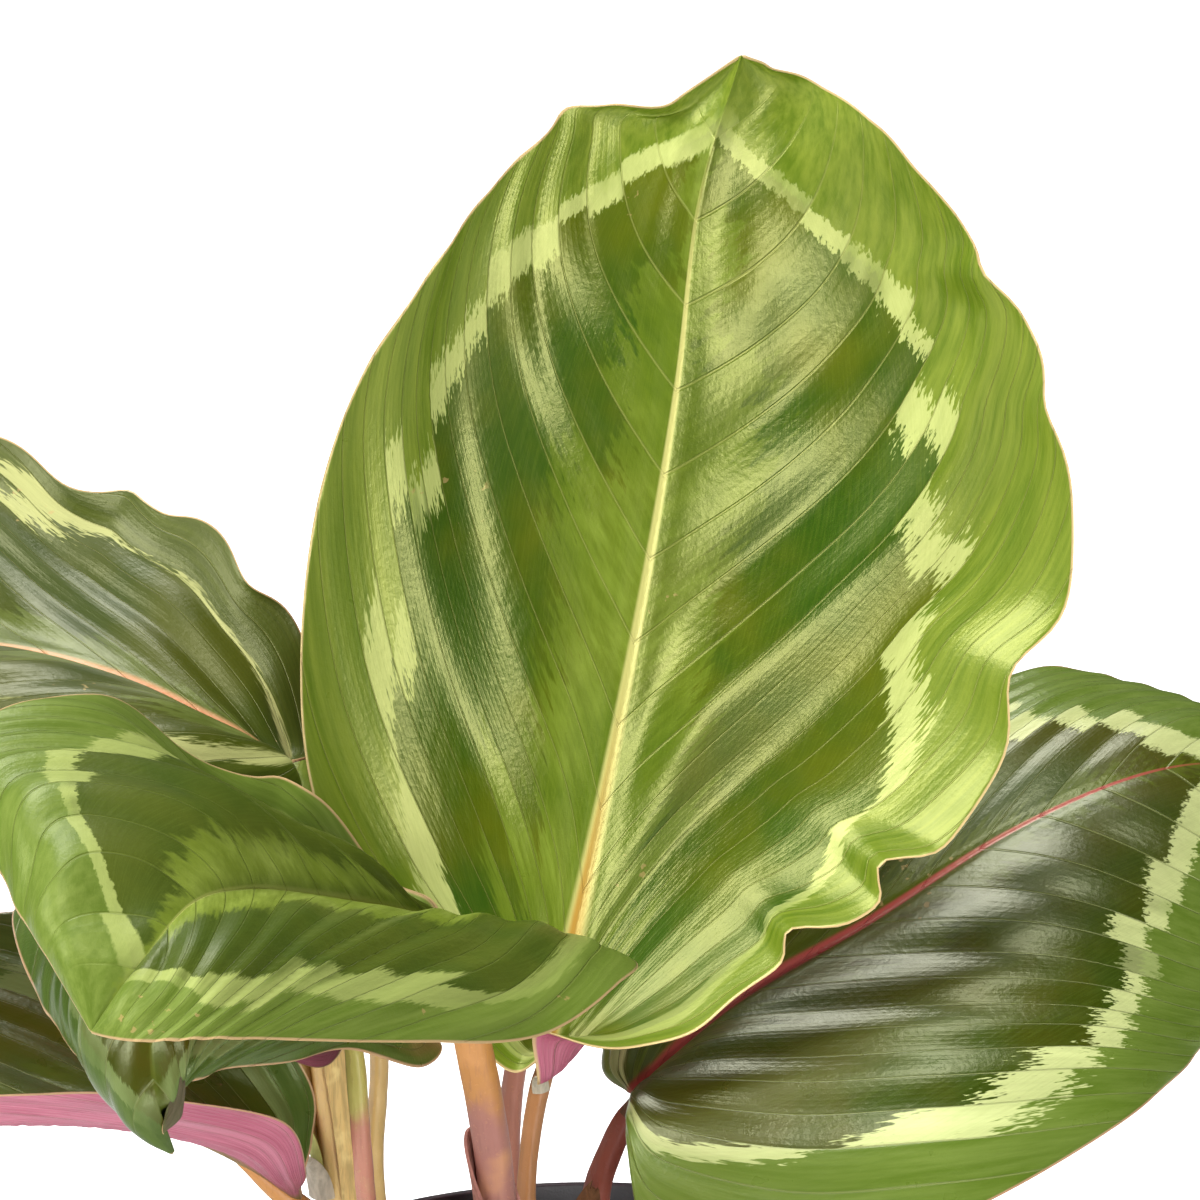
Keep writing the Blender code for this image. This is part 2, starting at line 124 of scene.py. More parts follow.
# A side vein leaves the midrib and leads towards the tip: by how much of the spine at half-width r
VEIN_LEAD = (0.93, -0.18)
FAN_SHARE = 1.2
FAN_VEINS = 6
CREASE_SHIFTS = (-0.15, -0.09, -0.03, 0.03, 0.09, 0.15)

# Fine form of a blade: how much closer its columns lie at the midrib and the edge, how far its
# rounded edge stands out in millimetres, and how many panels one wave of the edge's ripple takes
COLUMN_CROWDING = 0.07
EDGE_ROUND = 0.12
RIPPLE_PANELS = 2.3

# Profile across the midrib in millimetres: a groove on top between two low banks, a keel underneath
BANK_HEIGHT = 0.16
BANK_PLACE = 1.9
BANK_WIDTH = 0.9
GROOVE_DEPTH = 0.18
GROOVE_WIDTH = 1.0
KEEL_WIDTH = 1.3

# Usual settings of a leaf's pattern, where it gives none of its own: how far the ring's border jumps
# from panel to panel and how far it frays, as shares of the half-width, the midrib's width at its
# foot in millimetres, and how much of the ring is worn away
PATTERN_SHARES = {"Jag": 0.11, "Feather": 0.15, "Rib Width": 1.6, "Wear": 0.0}

# Where the pale ring and the pale heart of a leaf reach, as shares of the half-width, at evenly
# spaced shares of the spine from base to tip
USUAL_RING = (0.70, 0.70, 0.71, 0.70, 0.56, -0.15)
USUAL_HEART = (0.40, 0.36, 0.26, 0.20, 0.08, 0.0)
DARK_HEART = (0.25, 0.22, 0.15, 0.10, 0.05, 0.0)

# A ring that is as wide as usual all along
EVEN_RING = (1.0, 1.0, 1.0, 1.0, 1.0, 1.0)

# Each leaf as in the CAD model: its spine from base to tip, its two edges, how its halves bow, the
# flutes of its edges, and its stalk. Added here are its looks. Pairs hold the left and the right half.
# folds: how high a half stands at each side vein, from FAN_VEINS before the base to the tip; without
#   them it is left to chance
# fold_share, pleat_share: how strong its folds and the arches between its veins are
# rings, ring_widths, hearts: where the ring lies, how wide it is against the usual, and the heart
# jag, feather, wear, rib_width: its own values of the pattern's settings
# green_tip: how green its underside is near the tip
# stalk_tones, joint: colours of its stalk's foot, middle and top, and where the top colour starts
LEAVES = {
    "centre": {
        "palette": "green",
        "veins": 12,
        "folds": ((-0.9, -0.6, -0.3, 0.0, 0.3, 0.6, 0.2, -0.3, -0.8, -0.8, -0.2, 0.6, 0.1, 0.6, 0.2,
                   0.7, 1.1, 0.5, 0.8),
                  (0.3, 0.2, 0.1, 0.0, -0.1, 0.1, 0.0, 0.5, 1.2, 1.7, 0.7, -0.1, 0.5, -0.1, 0.5,
                   1.0, 0.6, 0.1, 0.4)),
        "rings": ((0.70, 0.70, 0.72, 0.72, 0.59, -0.25), (0.90, 0.88, 0.77, 0.69, 0.50, -0.30)),
        "ring_widths": ((0.6, 0.7, 0.8, 0.9, 0.9, 0.6), (0.35, 0.35, 0.55, 1.10, 0.95, 0.7)),
        "hearts": ((0.30, 0.38, 0.28, 0.25, 0.09, 0.0), (0.20, 0.30, 0.24, 0.18, 0.06, 0.0)),
        "jag": 0.15,
        "feather": 0.21,
        "spine": [(-6, -6, 132), (-1, -2, 154), (4, 3, 177), (9, 8, 203), (13, 13, 228),
                  (16, 18, 253), (22, 20, 274)],
        "left": [(-12, -8, 131), (-23, -8, 145), (-36, -2, 160), (-41, 0, 185), (-36, 5, 221),
                 (-20, 10, 248), (-3, 20, 265), (11, 22, 267)],
        "right": [(-6, -14, 130), (9, -16, 138), (30, -14, 150), (52, -8, 165), (69, 2, 198),
                  (64, 8, 235), (45, 14, 261), (33, 20, 270)],
        "bow_left": [(-3, 0), (-6, 0), (-6, 0), (-2, 0)],
        "bow_right": [(-5, 0), (-8, 0), (-7, 0), (-2, 0)],
        "flutes": [(1, 0.15, 0.035, 5, 7), (1, 0.25, 0.03, 0, -2), (1, 0.345, 0.015, 1, 4),
                   (1, 0.415, 0.014, 1, 5), (1, 0.52, 0.02, 1, 5), (1, 0.635, 0.015, 0, 1.5),
                   (1, 0.70, 0.012, 1, 2), (1, 0.94, 0.02, 0, 1.2), (-1, 0.79, 0.02, 0, -1.5),
                   (-1, 0.88, 0.03, 1, 1.5)],
        "stalk_tones": ("rust", "rust", "rust"),
        "stalk": [(-7, -7, 67), (-8, -8, 90), (-9, -8, 110), (-8, -7, 122), (-6, -6, 132)],
        "radius": [2.0, 1.7, 1.5, 1.4, 1.6],
    },
    "right": {
        "palette": "dark",
        "veins": 11,
        "fold_share": 0.25,
        "pleat_share": 0.5,
        "rings": ((0.72, 0.72, 0.70, 0.57, 0.30, -0.10), (0.62, 0.70, 0.75, 0.71, 0.32, -0.20)),
        "ring_widths": ((1.0, 1.0, 1.1, 1.2, 1.1, 0.7), (0.5, 0.6, 1.1, 1.5, 1.3, 0.8)),
        "hearts": (DARK_HEART, DARK_HEART),
        "jag": 0.15,
        "feather": 0.18,
        "rib_width": 2.1,
        "spine": [(7, -4, 125), (22, 4, 137), (42, 14, 146), (62, 24, 156), (80, 32, 162),
                  (94, 38, 163), (107, 42, 160)],
        "left": [(2, 6, 127), (8, 26, 136), (26, 44, 149), (46, 54, 164), (69, 62, 171),
                 (84, 62, 169), (96, 54, 167), (103, 48, 163)],
        "right": [(6, -18, 121), (10, -28, 112), (29, -34, 110), (53, -30, 117), (77, -14, 125),
                  (91, 4, 131), (101, 20, 141), (106, 32, 150)],
        "bow_left": [(2, 0), (3, 0), (3, 0), (1, 0)],
        "bow_right": [(4, 0), (6, 0), (6, 0), (2, 0)],
        "flutes": [],
        "stalk_tones": ("pink", "red", "red"),
        "stalk": [(2, 0, 67), (1, -1, 90), (1, -2, 108), (4, -3, 118), (7, -4, 125)],
        "radius": [3.4, 3.2, 2.8, 2.0, 1.7],
    },
    "left_back": {
        "palette": "olive",
        "veins": 8,
        "fold_share": 0.4,
        "pleat_share": 0.7,
        "rings": ((0.57, 0.57, 0.60, 0.62, 0.50, -0.10), (0.45, 0.68, 0.80, 0.80, 0.55, -0.15)),
        "hearts": (DARK_HEART, DARK_HEART),
        "jag": 0.18,
        "feather": 0.20,
        "wear": 0.25,
        "rib_width": 2.3,
        "spine": [(-43, -2, 175), (-54, 2, 180), (-68, 8, 185), (-86, 14, 188), (-105, 20, 186),
                  (-124, 24, 180), (-139, 26, 171)],
        "left": [(-41, -6, 172), (-46, -14, 169), (-56, -22, 168), (-74, -22, 170),
                 (-95, -18, 174), (-114, -8, 175), (-127, 6, 175), (-134, 16, 173)],
        "right": [(-39, 14, 174), (-43, 26, 188), (-55, 36, 200), (-71, 44, 204), (-93, 52, 211),
                  (-115, 52, 202), (-129, 42, 188), (-136, 34, 179)],
        "bow_left": [(3, 0), (8, 0), (8, 0), (3, 0)],
        "bow_right": [(-1, 0), (-3, 0), (-3, 0), (-1, 0)],
        "flutes": [(1, 0.285, 0.03, 0, 4), (1, 0.39, 0.022, 0, 1.5), (1, 0.435, 0.014, 0, -1.5),
                   (1, 0.48, 0.03, 0, 3.5)],
        "stalk_tones": ("yellow", "yellow", "pink"),
        "stalk": [(-33, 4, 67), (-35, 4, 95), (-38, 5, 124), (-42, 2, 152), (-43, -2, 175)],
        "radius": [3.8, 3.6, 3.3, 1.9, 1.6],
    },
    "front": {
        "palette": "soft",
        "veins": 11,
        "fold_share": 0.45,
        "pleat_share": 0.6,
        "rings": ((0.66, 0.80, 0.79, 0.73, 0.68, -0.30), (0.66, 0.74, 0.78, 0.70, 0.47, -0.40)),
        "ring_widths": ((1.0, 1.0, 1.1, 1.2, 0.8, 0.4), (1.3, 1.5, 1.4, 1.3, 1.1, 0.6)),
        "hearts": ((0.34, 0.34, 0.30, 0.24, 0.10, 0.0), (0.10, 0.15, 0.17, 0.15, 0.09, 0.0)),
        "jag": 0.06,
        "feather": 0.10,
        "spine": [(-20, -24, 157), (-27, -40, 165), (-36, -58, 173), (-44, -76, 180),
                  (-50, -94, 184), (-55, -110, 182), (-61, -118, 175)],
        "left": [(5, -38, 158), (4, -56, 160), (-6, -76, 160), (-21, -96, 166), (-36, -112, 172),
                 (-46, -120, 175), (-54, -121, 175), (-58, -120, 175)],
        "right": [(-22, -22, 161), (-29, -20, 164), (-38, -24, 177), (-52, -32, 184),
                  (-66, -46, 198), (-83, -70, 198), (-73, -98, 187), (-67, -110, 182)],
        "bow_left": [(3, 0), (5, 0), (4, 0), (1, 0)],
        "bow_right": [(0, 2), (-2, 4), (3, 3), (5, -1), (1, 0)],
        "flutes": [(1, 0.49, 0.03, 0, 2.5), (1, 0.37, 0.02, 0, -1.5)],
        "stalk_tones": ("purple", "purple", "orange"),
        "joint": 0.60,
        "stalk": [(-12, -14, 67), (-13, -16, 92), (-13, -18, 116), (-16, -21, 138), (-20, -24, 157)],
        "radius": [3.4, 3.1, 2.7, 2.7, 2.2],
    },
    "low_front": {
        "palette": "shaded",
        "veins": 9,
        "fold_share": 0.5,
        "rings": (USUAL_RING, USUAL_RING),
        "hearts": (DARK_HEART, DARK_HEART),
        "green_tip": 0.85,
        "spine": [(-33, -24, 142), (-37, -42, 153), (-42, -60, 163), (-49, -78, 169),
                  (-55, -92, 168), (-55, -98, 160), (-53, -96, 151)],
        "left": [(-21, -28, 142), (-23, -44, 144), (-32, -62, 153), (-39, -78, 157),
                 (-47, -90, 160), (-52, -97, 160), (-54, -98, 156), (-54, -97, 153)],
        "right": [(-40, -8, 131), (-57, -8, 141), (-69, -18, 155), (-79, -34, 164),
                  (-75, -60, 163), (-69, -78, 161), (-61, -90, 156), (-56, -95, 153)],
        "bow_left": [(3, 0), (5, 0), (5, 0), (2, 0)],
        "bow_right": [(3, 0), (6, 0), (6, 0), (2, 0)],
        "flutes": [],
        "stalk_tones": ("pink", "pink", "green"),
        "joint": 0.76,
        "stalk": [(-27, -17, 67), (-29, -20, 90), (-31, -23, 110), (-32, -26, 126), (-33, -25, 142)],
        "radius": [2.0, 1.7, 1.5, 1.4, 1.5],
    },
    "low_left": {
        "palette": "shaded",
        "veins": 10,
        "fold_share": 0.35,
        "rings": (USUAL_RING, USUAL_RING),
        "hearts": (DARK_HEART, DARK_HEART),
        "spine": [(-42, -14, 114), (-52, -17, 122), (-65, -22, 129), (-83, -28, 133),
                  (-100, -36, 135), (-117, -44, 133), (-133, -50, 127)],
        "left": [(-40, -26, 122), (-42, -44, 136), (-55, -58, 144), (-70, -68, 149),
                 (-88, -74, 150), (-105, -72, 145), (-118, -62, 136), (-127, -55, 130)],
        "right": [(-40, -8, 120), (-41, -3, 128), (-54, 10, 140), (-75, 12, 148), (-95, 6, 148),
                  (-112, -4, 144), (-125, -22, 137), (-130, -38, 131)],
        "bow_left": [(-2, 0), (-3, 0), (-3, 0), (-1, 0)],
        "bow_right": [(-2, 0), (-3, 0), (-3, 0), (-1, 0)],
        "flutes": [],
        "stalk_tones": ("orange", "orange", "orange"),
        "stalk": [(-38, -12, 67), (-37, -12, 82), (-36, -12, 96), (-38, -13, 106), (-42, -14, 114)],
        "radius": [2.4, 2.2, 2.0, 2.0, 2.1],
    },
    "back": {
        "palette": "dark",
        "veins": 12,
        "fold_share": 0.8,
        "rings": (USUAL_RING, USUAL_RING),
        "hearts": (USUAL_HEART, USUAL_HEART),
        "spine": [(3, 18, 150), (5, 40, 167), (8, 62, 177), (12, 84, 181), (15, 104, 178),
                  (17, 122, 170), (18, 136, 158)],
        "grown": {"width": 44, "facing": (0, -0.1, 1), "lift": 12},
        "bow_left": [(2, 0), (3, 0), (2, 0)],
        "bow_right": [(2, 0), (3, 0), (2, 0)],
        "flutes": [(-1, 0.40, 0.05, 2, 1), (1, 0.55, 0.05, 2, 1), (1, 0.30, 0.05, -2, 1)],
        "stalk_tones": ("pink", "pink", "orange"),
        "stalk": [(-9, 15, 67), (-10, 14, 88), (-12, 14, 108), (-9, 15, 130), (3, 18, 150)],
        "radius": [2.6, 2.2, 1.8, 1.6, 1.7],
    },
    "back_left": {
        "palette": "green",
        "veins": 10,
        "fold_share": 0.8,
        "rings": (USUAL_RING, USUAL_RING),
        "hearts": (USUAL_HEART, USUAL_HEART),
        "spine": [(-32, 14, 142), (-39, 31, 151), (-47, 50, 156), (-55, 69, 157), (-63, 88, 152),
                  (-70, 104, 142), (-76, 116, 128)],
        "grown": {"width": 39, "facing": (0, 0, 1), "lift": 8},
        "bow_left": [(2, 0), (3, 0), (2, 0)],
        "bow_right": [(2, 0), (3, 0), (2, 0)],
        "flutes": [(-1, 0.50, 0.05, 2, 1), (1, 0.40, 0.05, 2, 1), (1, 0.65, 0.05, -2, 1)],
        "stalk_tones": ("yellow", "yellow", "yellow"),
        "stalk": [(-28, 13, 67), (-30, 12, 87), (-32, 11, 108), (-31, 12, 124), (-32, 14, 142)],
        "radius": [2.2, 1.9, 1.6, 1.5, 1.6],
    },
}

# Colours of the leaves' upper side, as linear red, green and blue. The sheen is the colour of what
# the wax mirrors, the gloss its strength, and matte is added to the roughness.
PALETTES = {
    "green": {
        "sheen": (1.00, 0.98, 0.40),
        "gloss": 0.72,
        "matte": 0.05,
        "deep": (0.022, 0.070, 0.001),
        "deep_warm": (0.085, 0.108, 0.001),
        "margin": (0.080, 0.145, 0.004),
        "margin_light": (0.195, 0.255, 0.024),
        "heart": (0.095, 0.150, 0.006),
        "heart_light": (0.190, 0.260, 0.028),
        "ring": (0.480, 0.530, 0.170),
        "vein": (0.280, 0.300, 0.070),
        "midrib": (0.500, 0.470, 0.150),
        "midrib_foot": (0.430, 0.240, 0.040),
        "edge": (0.560, 0.400, 0.190),
    },
    "soft": {
        "sheen": (0.95, 1.00, 0.42),
        "gloss": 0.24,
        "matte": 0.1,
        "deep": (0.046, 0.074, 0.008),
        "deep_warm": (0.072, 0.094, 0.010),
        "margin": (0.100, 0.155, 0.018),
        "margin_light": (0.165, 0.225, 0.040),
        "heart": (0.200, 0.265, 0.026),
        "heart_light": (0.320, 0.385, 0.085),
        "ring": (0.340, 0.395, 0.110),
        "vein": (0.130, 0.165, 0.030),
        "midrib": (0.360, 0.390, 0.100),
        "midrib_foot": (0.360, 0.350, 0.080),
        "edge": (0.520, 0.350, 0.170),
    },
    "olive": {
        "sheen": (0.98, 0.97, 0.56),
        "gloss": 0.40,
        "matte": 0.08,
        "deep": (0.024, 0.042, 0.001),
        "deep_warm": (0.050, 0.060, 0.002),
        "margin": (0.030, 0.046, 0.002),
        "margin_light": (0.062, 0.082, 0.008),
        "heart": (0.090, 0.120, 0.016),
        "heart_light": (0.160, 0.195, 0.050),
        "ring": (0.400, 0.410, 0.150),
        "vein": (0.160, 0.175, 0.040),
        "midrib": (0.520, 0.260, 0.120),
        "midrib_foot": (0.520, 0.190, 0.090),
        "edge": (0.500, 0.330, 0.160),
    },
    "dark": {
        "sheen": (0.96, 0.98, 0.62),
        "gloss": 0.52,
        "matte": 0.04,
        "deep": (0.028, 0.050, 0.001),
        "deep_warm": (0.055, 0.056, 0.001),
        "margin": (0.090, 0.150, 0.012),
        "margin_light": (0.150, 0.215, 0.036),
        "heart": (0.075, 0.105, 0.003),
        "heart_light": (0.110, 0.140, 0.006),
        "ring": (0.560, 0.610, 0.250),
        "vein": (0.230, 0.260, 0.080),
        "midrib": (0.420, 0.070, 0.060),
        "midrib_foot": (0.480, 0.110, 0.090),
        "edge": (0.500, 0.290, 0.160),
    },
    "shaded": {
        "sheen": (0.92, 1.00, 0.60),
        "gloss": 0.5,
        "matte": 0.04,
        "deep": (0.030, 0.046, 0.001),
        "deep_warm": (0.056, 0.056, 0.001),
        "margin": (0.040, 0.078, 0.008),
        "margin_light": (0.070, 0.115, 0.018),
        "heart": (0.050, 0.072, 0.003),
        "heart_light": (0.070, 0.095, 0.005),
        "ring": (0.150, 0.200, 0.060),
        "vein": (0.170, 0.180, 0.050),
        "midrib": (0.120, 0.150, 0.020),
        "midrib_foot": (0.200, 0.160, 0.030),
        "edge": (0.480, 0.300, 0.160),
    },
}

# Colour of the small dry scars on the leaves' upper side
SCAR_TONE = (0.420, 0.290, 0.110)

# Colours of the leaves' underside
UNDER_DEEP = (0.380, 0.085, 0.140)
UNDER_LIGHT = (0.620, 0.200, 0.280)
UNDER_VEIN = (0.400, 0.200, 0.170)

# Colours of the stalks and sheaths, and the share of a stalk where its top colour usually starts
STALK_TONES = {
    "orange": (0.560, 0.260, 0.070),
    "rust": (0.420, 0.190, 0.065),
    "yellow": (0.780, 0.560, 0.210),
    "pink": (0.480, 0.200, 0.130),
    "red": (0.330, 0.080, 0.045),
    "purple": (0.400, 0.170, 0.130),
    "green": (0.420, 0.380, 0.090),
}
USUAL_JOINT = 0.80

# Colours of the bark crumbs, of the paler specks in the soil and of the perlite, whose pits get a painted
# grey shade
BARK = (0.060, 0.034, 0.018)
BARK_PALE = (0.14, 0.085, 0.045)
SOIL_PALE = (0.075, 0.045, 0.025)
PERLITE_PIT_SHADE = (0.32, 0.29, 0.24)
PERLITE_WHITE = (0.74, 0.72, 0.68)
PERLITE_STAIN = (0.30, 0.22, 0.14)

# How a stalk's end lies under its leaf's midrib: at shares of the spine, how deep it lies and how
# thick it still is, both as shares of its top radius
STALK_TUCK = ((0.0, 0.75, 0.85), (0.035, 0.6, 0.7), (0.07, 0.45, 0.5), (0.11, 0.2, 0.25))

# Path of a stalk: the share of its line before that end, its points and how many times its bend is
# eased; and how uneven a stalk's skin is in metres
STALK_END = 0.94
STALK_POINTS = 90
STALK_EASING = 12
STALK_UNEVENNESS = 0.00022

# Soft square lights that face the plant: where each hangs and how wide it is, in metres. The power of
# each stands under its name in the stage's settings.
LIGHTS = {
    "key": ((-1.00, -0.30, 1.35), 0.9),
    "front": ((0.42, -1.30, 0.27), 0.45),
    "fill": ((-1.25, -0.85, 0.60), 1.4),
    "top": ((0.05, -0.14, 1.60), 0.5),
    "back": ((-0.14, 0.79, 1.22), 0.45),
}
WHITE = (1.0, 1.0, 1.0, 1.0)
FLOOR_GREY = (0.80, 0.80, 0.80, 1.0)


class PotSettings(bpy.types.PropertyGroup):
    """Sizes and colour of the pot."""

    wall: FloatProperty(
        name="Wall", description="Thickness of the pot's wall", default=POT_WALL * MM, unit="LENGTH"
    )
    rim_round: FloatProperty(
        name="Rim Rounding", description="Radius of the rim's rounded top", default=0.0006, unit="LENGTH"
    )
    sides: IntProperty(name="Sides", description="Faces round the pot", default=144, min=24)
    color: FloatVectorProperty(
        name="Plastic", description="Colour of the pot's plastic", subtype="COLOR", size=3,
        default=SLOT_COLORS["pot_plastic"], min=0.0, max=1.0,
    )


class SoilSettings(bpy.types.PropertyGroup):
    """Sizes and colours of the potting mix."""

    crumbs: IntProperty(name="Crumbs", description="Bark crumbs on the soil", default=900, min=0)
    crumb_size: FloatProperty(
        name="Crumb Size", description="Radius of the largest crumb", default=0.0017, unit="LENGTH"
    )
    perlite: IntProperty(name="Perlite", description="White grains on the soil", default=90, min=0)
    perlite_size: FloatProperty(
        name="Perlite Size", description="Radius of the largest grain", default=0.0012, unit="LENGTH"
    )
    color: FloatVectorProperty(
        name="Soil", description="Colour of the moist soil", subtype="COLOR", size=3,
        default=SLOT_COLORS["soil"], min=0.0, max=1.0,
    )


class LeafSettings(bpy.types.PropertyGroup):
    """Sizes and finish of the leaf blades."""

    rows: IntProperty(name="Rows", description="Mesh rows from base to tip", default=170, min=20)
    columns: IntProperty(name="Columns", description="Mesh columns in a half leaf", default=42, min=8)
    thickness: FloatProperty(
        name="Thickness", description="Thickness of a blade", default=0.00045, unit="LENGTH"
    )
    pleat: FloatProperty(
        name="Pleat", description="Height of the arch between two side veins", default=0.00030,
        unit="LENGTH",
    )
    fold: FloatProperty(
        name="Fold", description="How high a blade stands at a side vein at most", default=0.0020,
        unit="LENGTH",
    )
    ripple: FloatProperty(
        name="Ripple", description="How far the edges ripple", default=0.00020, unit="LENGTH"
    )
    keel: FloatProperty(
        name="Keel", description="Height of the midrib under the blade", default=0.0011, unit="LENGTH"
    )
    ring_width: FloatProperty(
        name="Ring Width", description="Half width of the pale ring", default=0.0024, unit="LENGTH"
    )


class StalkSettings(bpy.types.PropertyGroup):
    """Sizes of the stalks and of the sheaths round them."""

    sides: IntProperty(name="Sides", description="Faces round a stalk", default=28, min=6)
    rings: IntProperty(name="Rings", description="Rings along a stalk", default=90, min=8)
    groove: FloatProperty(
        name="Groove", description="Depth of the groove along a stalk, as a share of its radius",
        default=0.22, min=0.0, max=0.6, subtype="FACTOR",
    )
    sheath: FloatProperty(
        name="Sheath", description="Thickness of a sheath's wall", default=0.00045, unit="LENGTH"
    )


class StageSettings(bpy.types.PropertyGroup):
    """The floor, the lights and the camera."""

    floor: FloatProperty(
        name="Floor", description="Width of the floor", default=14.0, unit="LENGTH"
    )
    glow: FloatProperty(name="Glow", description="How bright the floor looks of itself", default=0.9)
    ambient: FloatProperty(name="Ambient", description="Strength of the even light", default=0.08)
    key: FloatProperty(name="Key", description="Power of the light from upper left in watts", default=30.0)
    front: FloatProperty(name="Front", description="Power of the light in front in watts", default=10.5)
    fill: FloatProperty(name="Fill", description="Power of the light from the left in watts", default=5.5)
    top: FloatProperty(name="Top", description="Power of the light overhead in watts", default=10.0)
    back: FloatProperty(name="Back", description="Power of the light from behind in watts", default=7.0)
    distance: FloatProperty(
        name="Camera Distance", description="From the camera to its target", default=0.8, unit="LENGTH"
    )
    lens: FloatProperty(
        name="Lens", description="Focal length in millimetres", default=168.0, min=1.0
    )


SETTINGS = {
    "calathea_pot": PotSettings,
    "calathea_soil": SoilSettings,
    "calathea_leaf": LeafSettings,
    "calathea_stalk": StalkSettings,
    "calathea_stage": StageSettings,
}


def to_mm(length):
    return length / MM


def through(values, at):
    """Smooth curve through evenly spaced values, read at places from 0 (first) to 1 (last)."""
    values = np.asarray(values, float)
    before = 2 * values[0] - values[1]
    after = 2 * values[-1] - values[-2]
    padded = np.concatenate([[before], values, [after]])
    place = np.clip(np.asarray(at, float), 0.0, 1.0) * (len(values) - 1)
    first = np.clip(np.floor(place).astype(int), 0, len(values) - 2)
    t = place - first
    if values.ndim > 1:
        t = t[..., None]
    p0, p1, p2, p3 = (padded[first + k] for k in range(4))
    curve = 2 * p1 + (p2 - p0) * t
    curve += (2 * p0 - 5 * p1 + 4 * p2 - p3) * t**2
    curve += (3 * p1 - p0 - 3 * p2 + p3) * t**3
    return curve / 2


def unit(vectors):
    return vectors / np.maximum(np.linalg.norm(vectors, axis=-1, keepdims=True), 1e-9)


def smooth_step(values, low, high):
    share = np.clip((values - low) / (high - low), 0.0, 1.0)
    return share * share * (3 - 2 * share)


def bell(values, middle, width):
    return np.exp(-(((values - middle) / width) ** 2))


class Line:
    """A smooth line through points, read by its share of length."""

    def __init__(self, points):
        self.dense = through(points, np.linspace(0, 1, LINE_POINTS))
        steps = np.linalg.norm(np.diff(self.dense, axis=0), axis=1)
        along = np.concatenate([[0], np.cumsum(steps)])
        self.length = along[-1]
        self.share = along / self.length

    def at(self, share):
        share = np.clip(np.asarray(share, float), 0, 1)
        return np.stack([np.interp(share, self.share, self.dense[:, k]) for k in range(3)], -1)

    def tangent(self, share, reach=0.02):
        share = np.asarray(share, float)
        return unit(self.at(share + reach) - self.at(share - reach))


def spine_share(u):
    """Share of the spine's length at row u: rows crowd towards the base and the tip."""
    return u - ROW_CROWDING * np.sin(2 * np.pi * u)


def grown_edges(spine, width, facing, lift):
    """Edges of a leaf from the usual round outline, with lobes behind the base."""
    u = np.arange(1, EDGE_POINTS + 1) / (EDGE_POINTS + 1)
    share = spine_share(u)
    middle = spine.at(share)
    forward = spine.tangent(share)
    facing = np.asarray(facing, float)
    up = unit(facing - forward * (forward @ facing)[:, None])
    across = np.cross(forward, up)
    half = width * np.sin(np.pi * share**OUTLINE_SKEW) ** OUTLINE_BLUNT
    back = LOBE_SHARE * width * (1 - u) ** LOBE_FADE
    flat, rise = math.cos(math.radians(lift)), math.sin(math.radians(lift))
    edges = {}
    for side in (-1, 1):
        edges[side] = middle + (across * side * flat + up * rise) * half[:, None]
        edges[side] -= forward * back[:, None]
    return edges


class Leaf:
    """The curved surface of a leaf. u runs from base to tip, r from the spine to an edge."""

    def __init__(self, sizes):
        self.spine = Line(sizes["spine"])
        base, tip = self.spine.at(0.0), self.spine.at(1.0)
        if "grown" in sizes:
            edges = grown_edges(self.spine, **sizes["grown"])
        else:
            edges = {-1: sizes["left"], 1: sizes["right"]}
        self.edge = {side: np.array([base, *edges[side], tip], float) for side in edges}
        self.bow = {-1: sizes["bow_left"], 1: sizes["bow_right"]}
        self.flutes = sizes["flutes"]

    def surface(self, u, r, side):
        u = np.asarray(u, float)
        r = np.asarray(r, float)
        start = self.spine.at(spine_share(u))
        end = through(self.edge[side], u)
        # Off the two ends, where spine and edge meet, a normal can be told
        clear = np.clip(u, END_CLEAR, 1 - END_CLEAR)
        reach = through(self.edge[side], clear) - self.spine.at(spine_share(clear))
        up = unit(np.cross(self.spine.tangent(spine_share(clear)), reach)) * -side
        arch, wave = np.moveaxis(through(self.bow[side], u), -1, 0)
        rise = (arch * 4 * r * (1 - r) + wave * np.sin(2 * np.pi * r)) * np.sin(np.pi * u) ** 0.5
        point = start + (end - start) * r[..., None] + up * rise[..., None]
        outward = unit(end - start)
        for flute_side, place, span, lift, draw in self.flutes:
            if flute_side == side:
                share = np.exp(-(((u - place) / span) ** 2)) * r**4
                point += up * (share * lift)[..., None] - outward * (share * draw)[..., None]
        return point

    def half_width(self, u, side):
        return np.linalg.norm(through(self.edge[side], u) - self.spine.at(spine_share(u)), axis=-1)


def vein_place(u, r):
    """Where on the spine the side vein through (u, r) starts; below 0 it fans from the base."""
    lead = VEIN_LEAD[0] * r + VEIN_LEAD[1] * r**2
    start = (spine_share(u) - lead) / (1 - lead)
    return np.where(start < 0, start / (1 - FAN_SHARE * np.minimum(start, 0)), start)


def grid_normals(grid):
    along = np.gradient(grid, axis=0)
    across = np.gradient(grid, axis=1)
    return unit(np.cross(across, along))


def add_mesh(name, points, faces, materials, faces_from=(), smooth_angle=60.0):
    """A mesh object from points in millimetres; faces_from says where each further material starts."""
    mesh = bpy.data.meshes.new(name)
    mesh.from_pydata(np.asarray(points, float) * MM, [], faces)
    for look in materials:
        mesh.materials.append(look)
    if len(faces_from):
        slots = np.zeros(len(mesh.polygons), int)
        for slot, first in enumerate(faces_from, start=1):
            slots[first:] = slot
        mesh.polygons.foreach_set("material_index", slots)
    mesh.shade_smooth()
    mesh.set_sharp_from_angle(angle=math.radians(smooth_angle))
    piece = bpy.data.objects.new(name, mesh)
    bpy.context.scene.collection.objects.link(piece)
    return piece


def store_vectors(piece, name, values):
    """Puts one vector on each point of a mesh, for its material to read."""
    layer = piece.data.attributes.new(name, "FLOAT_VECTOR", "POINT")
    layer.data.foreach_set("vector", np.ascontiguousarray(values, dtype=np.float32).ravel())


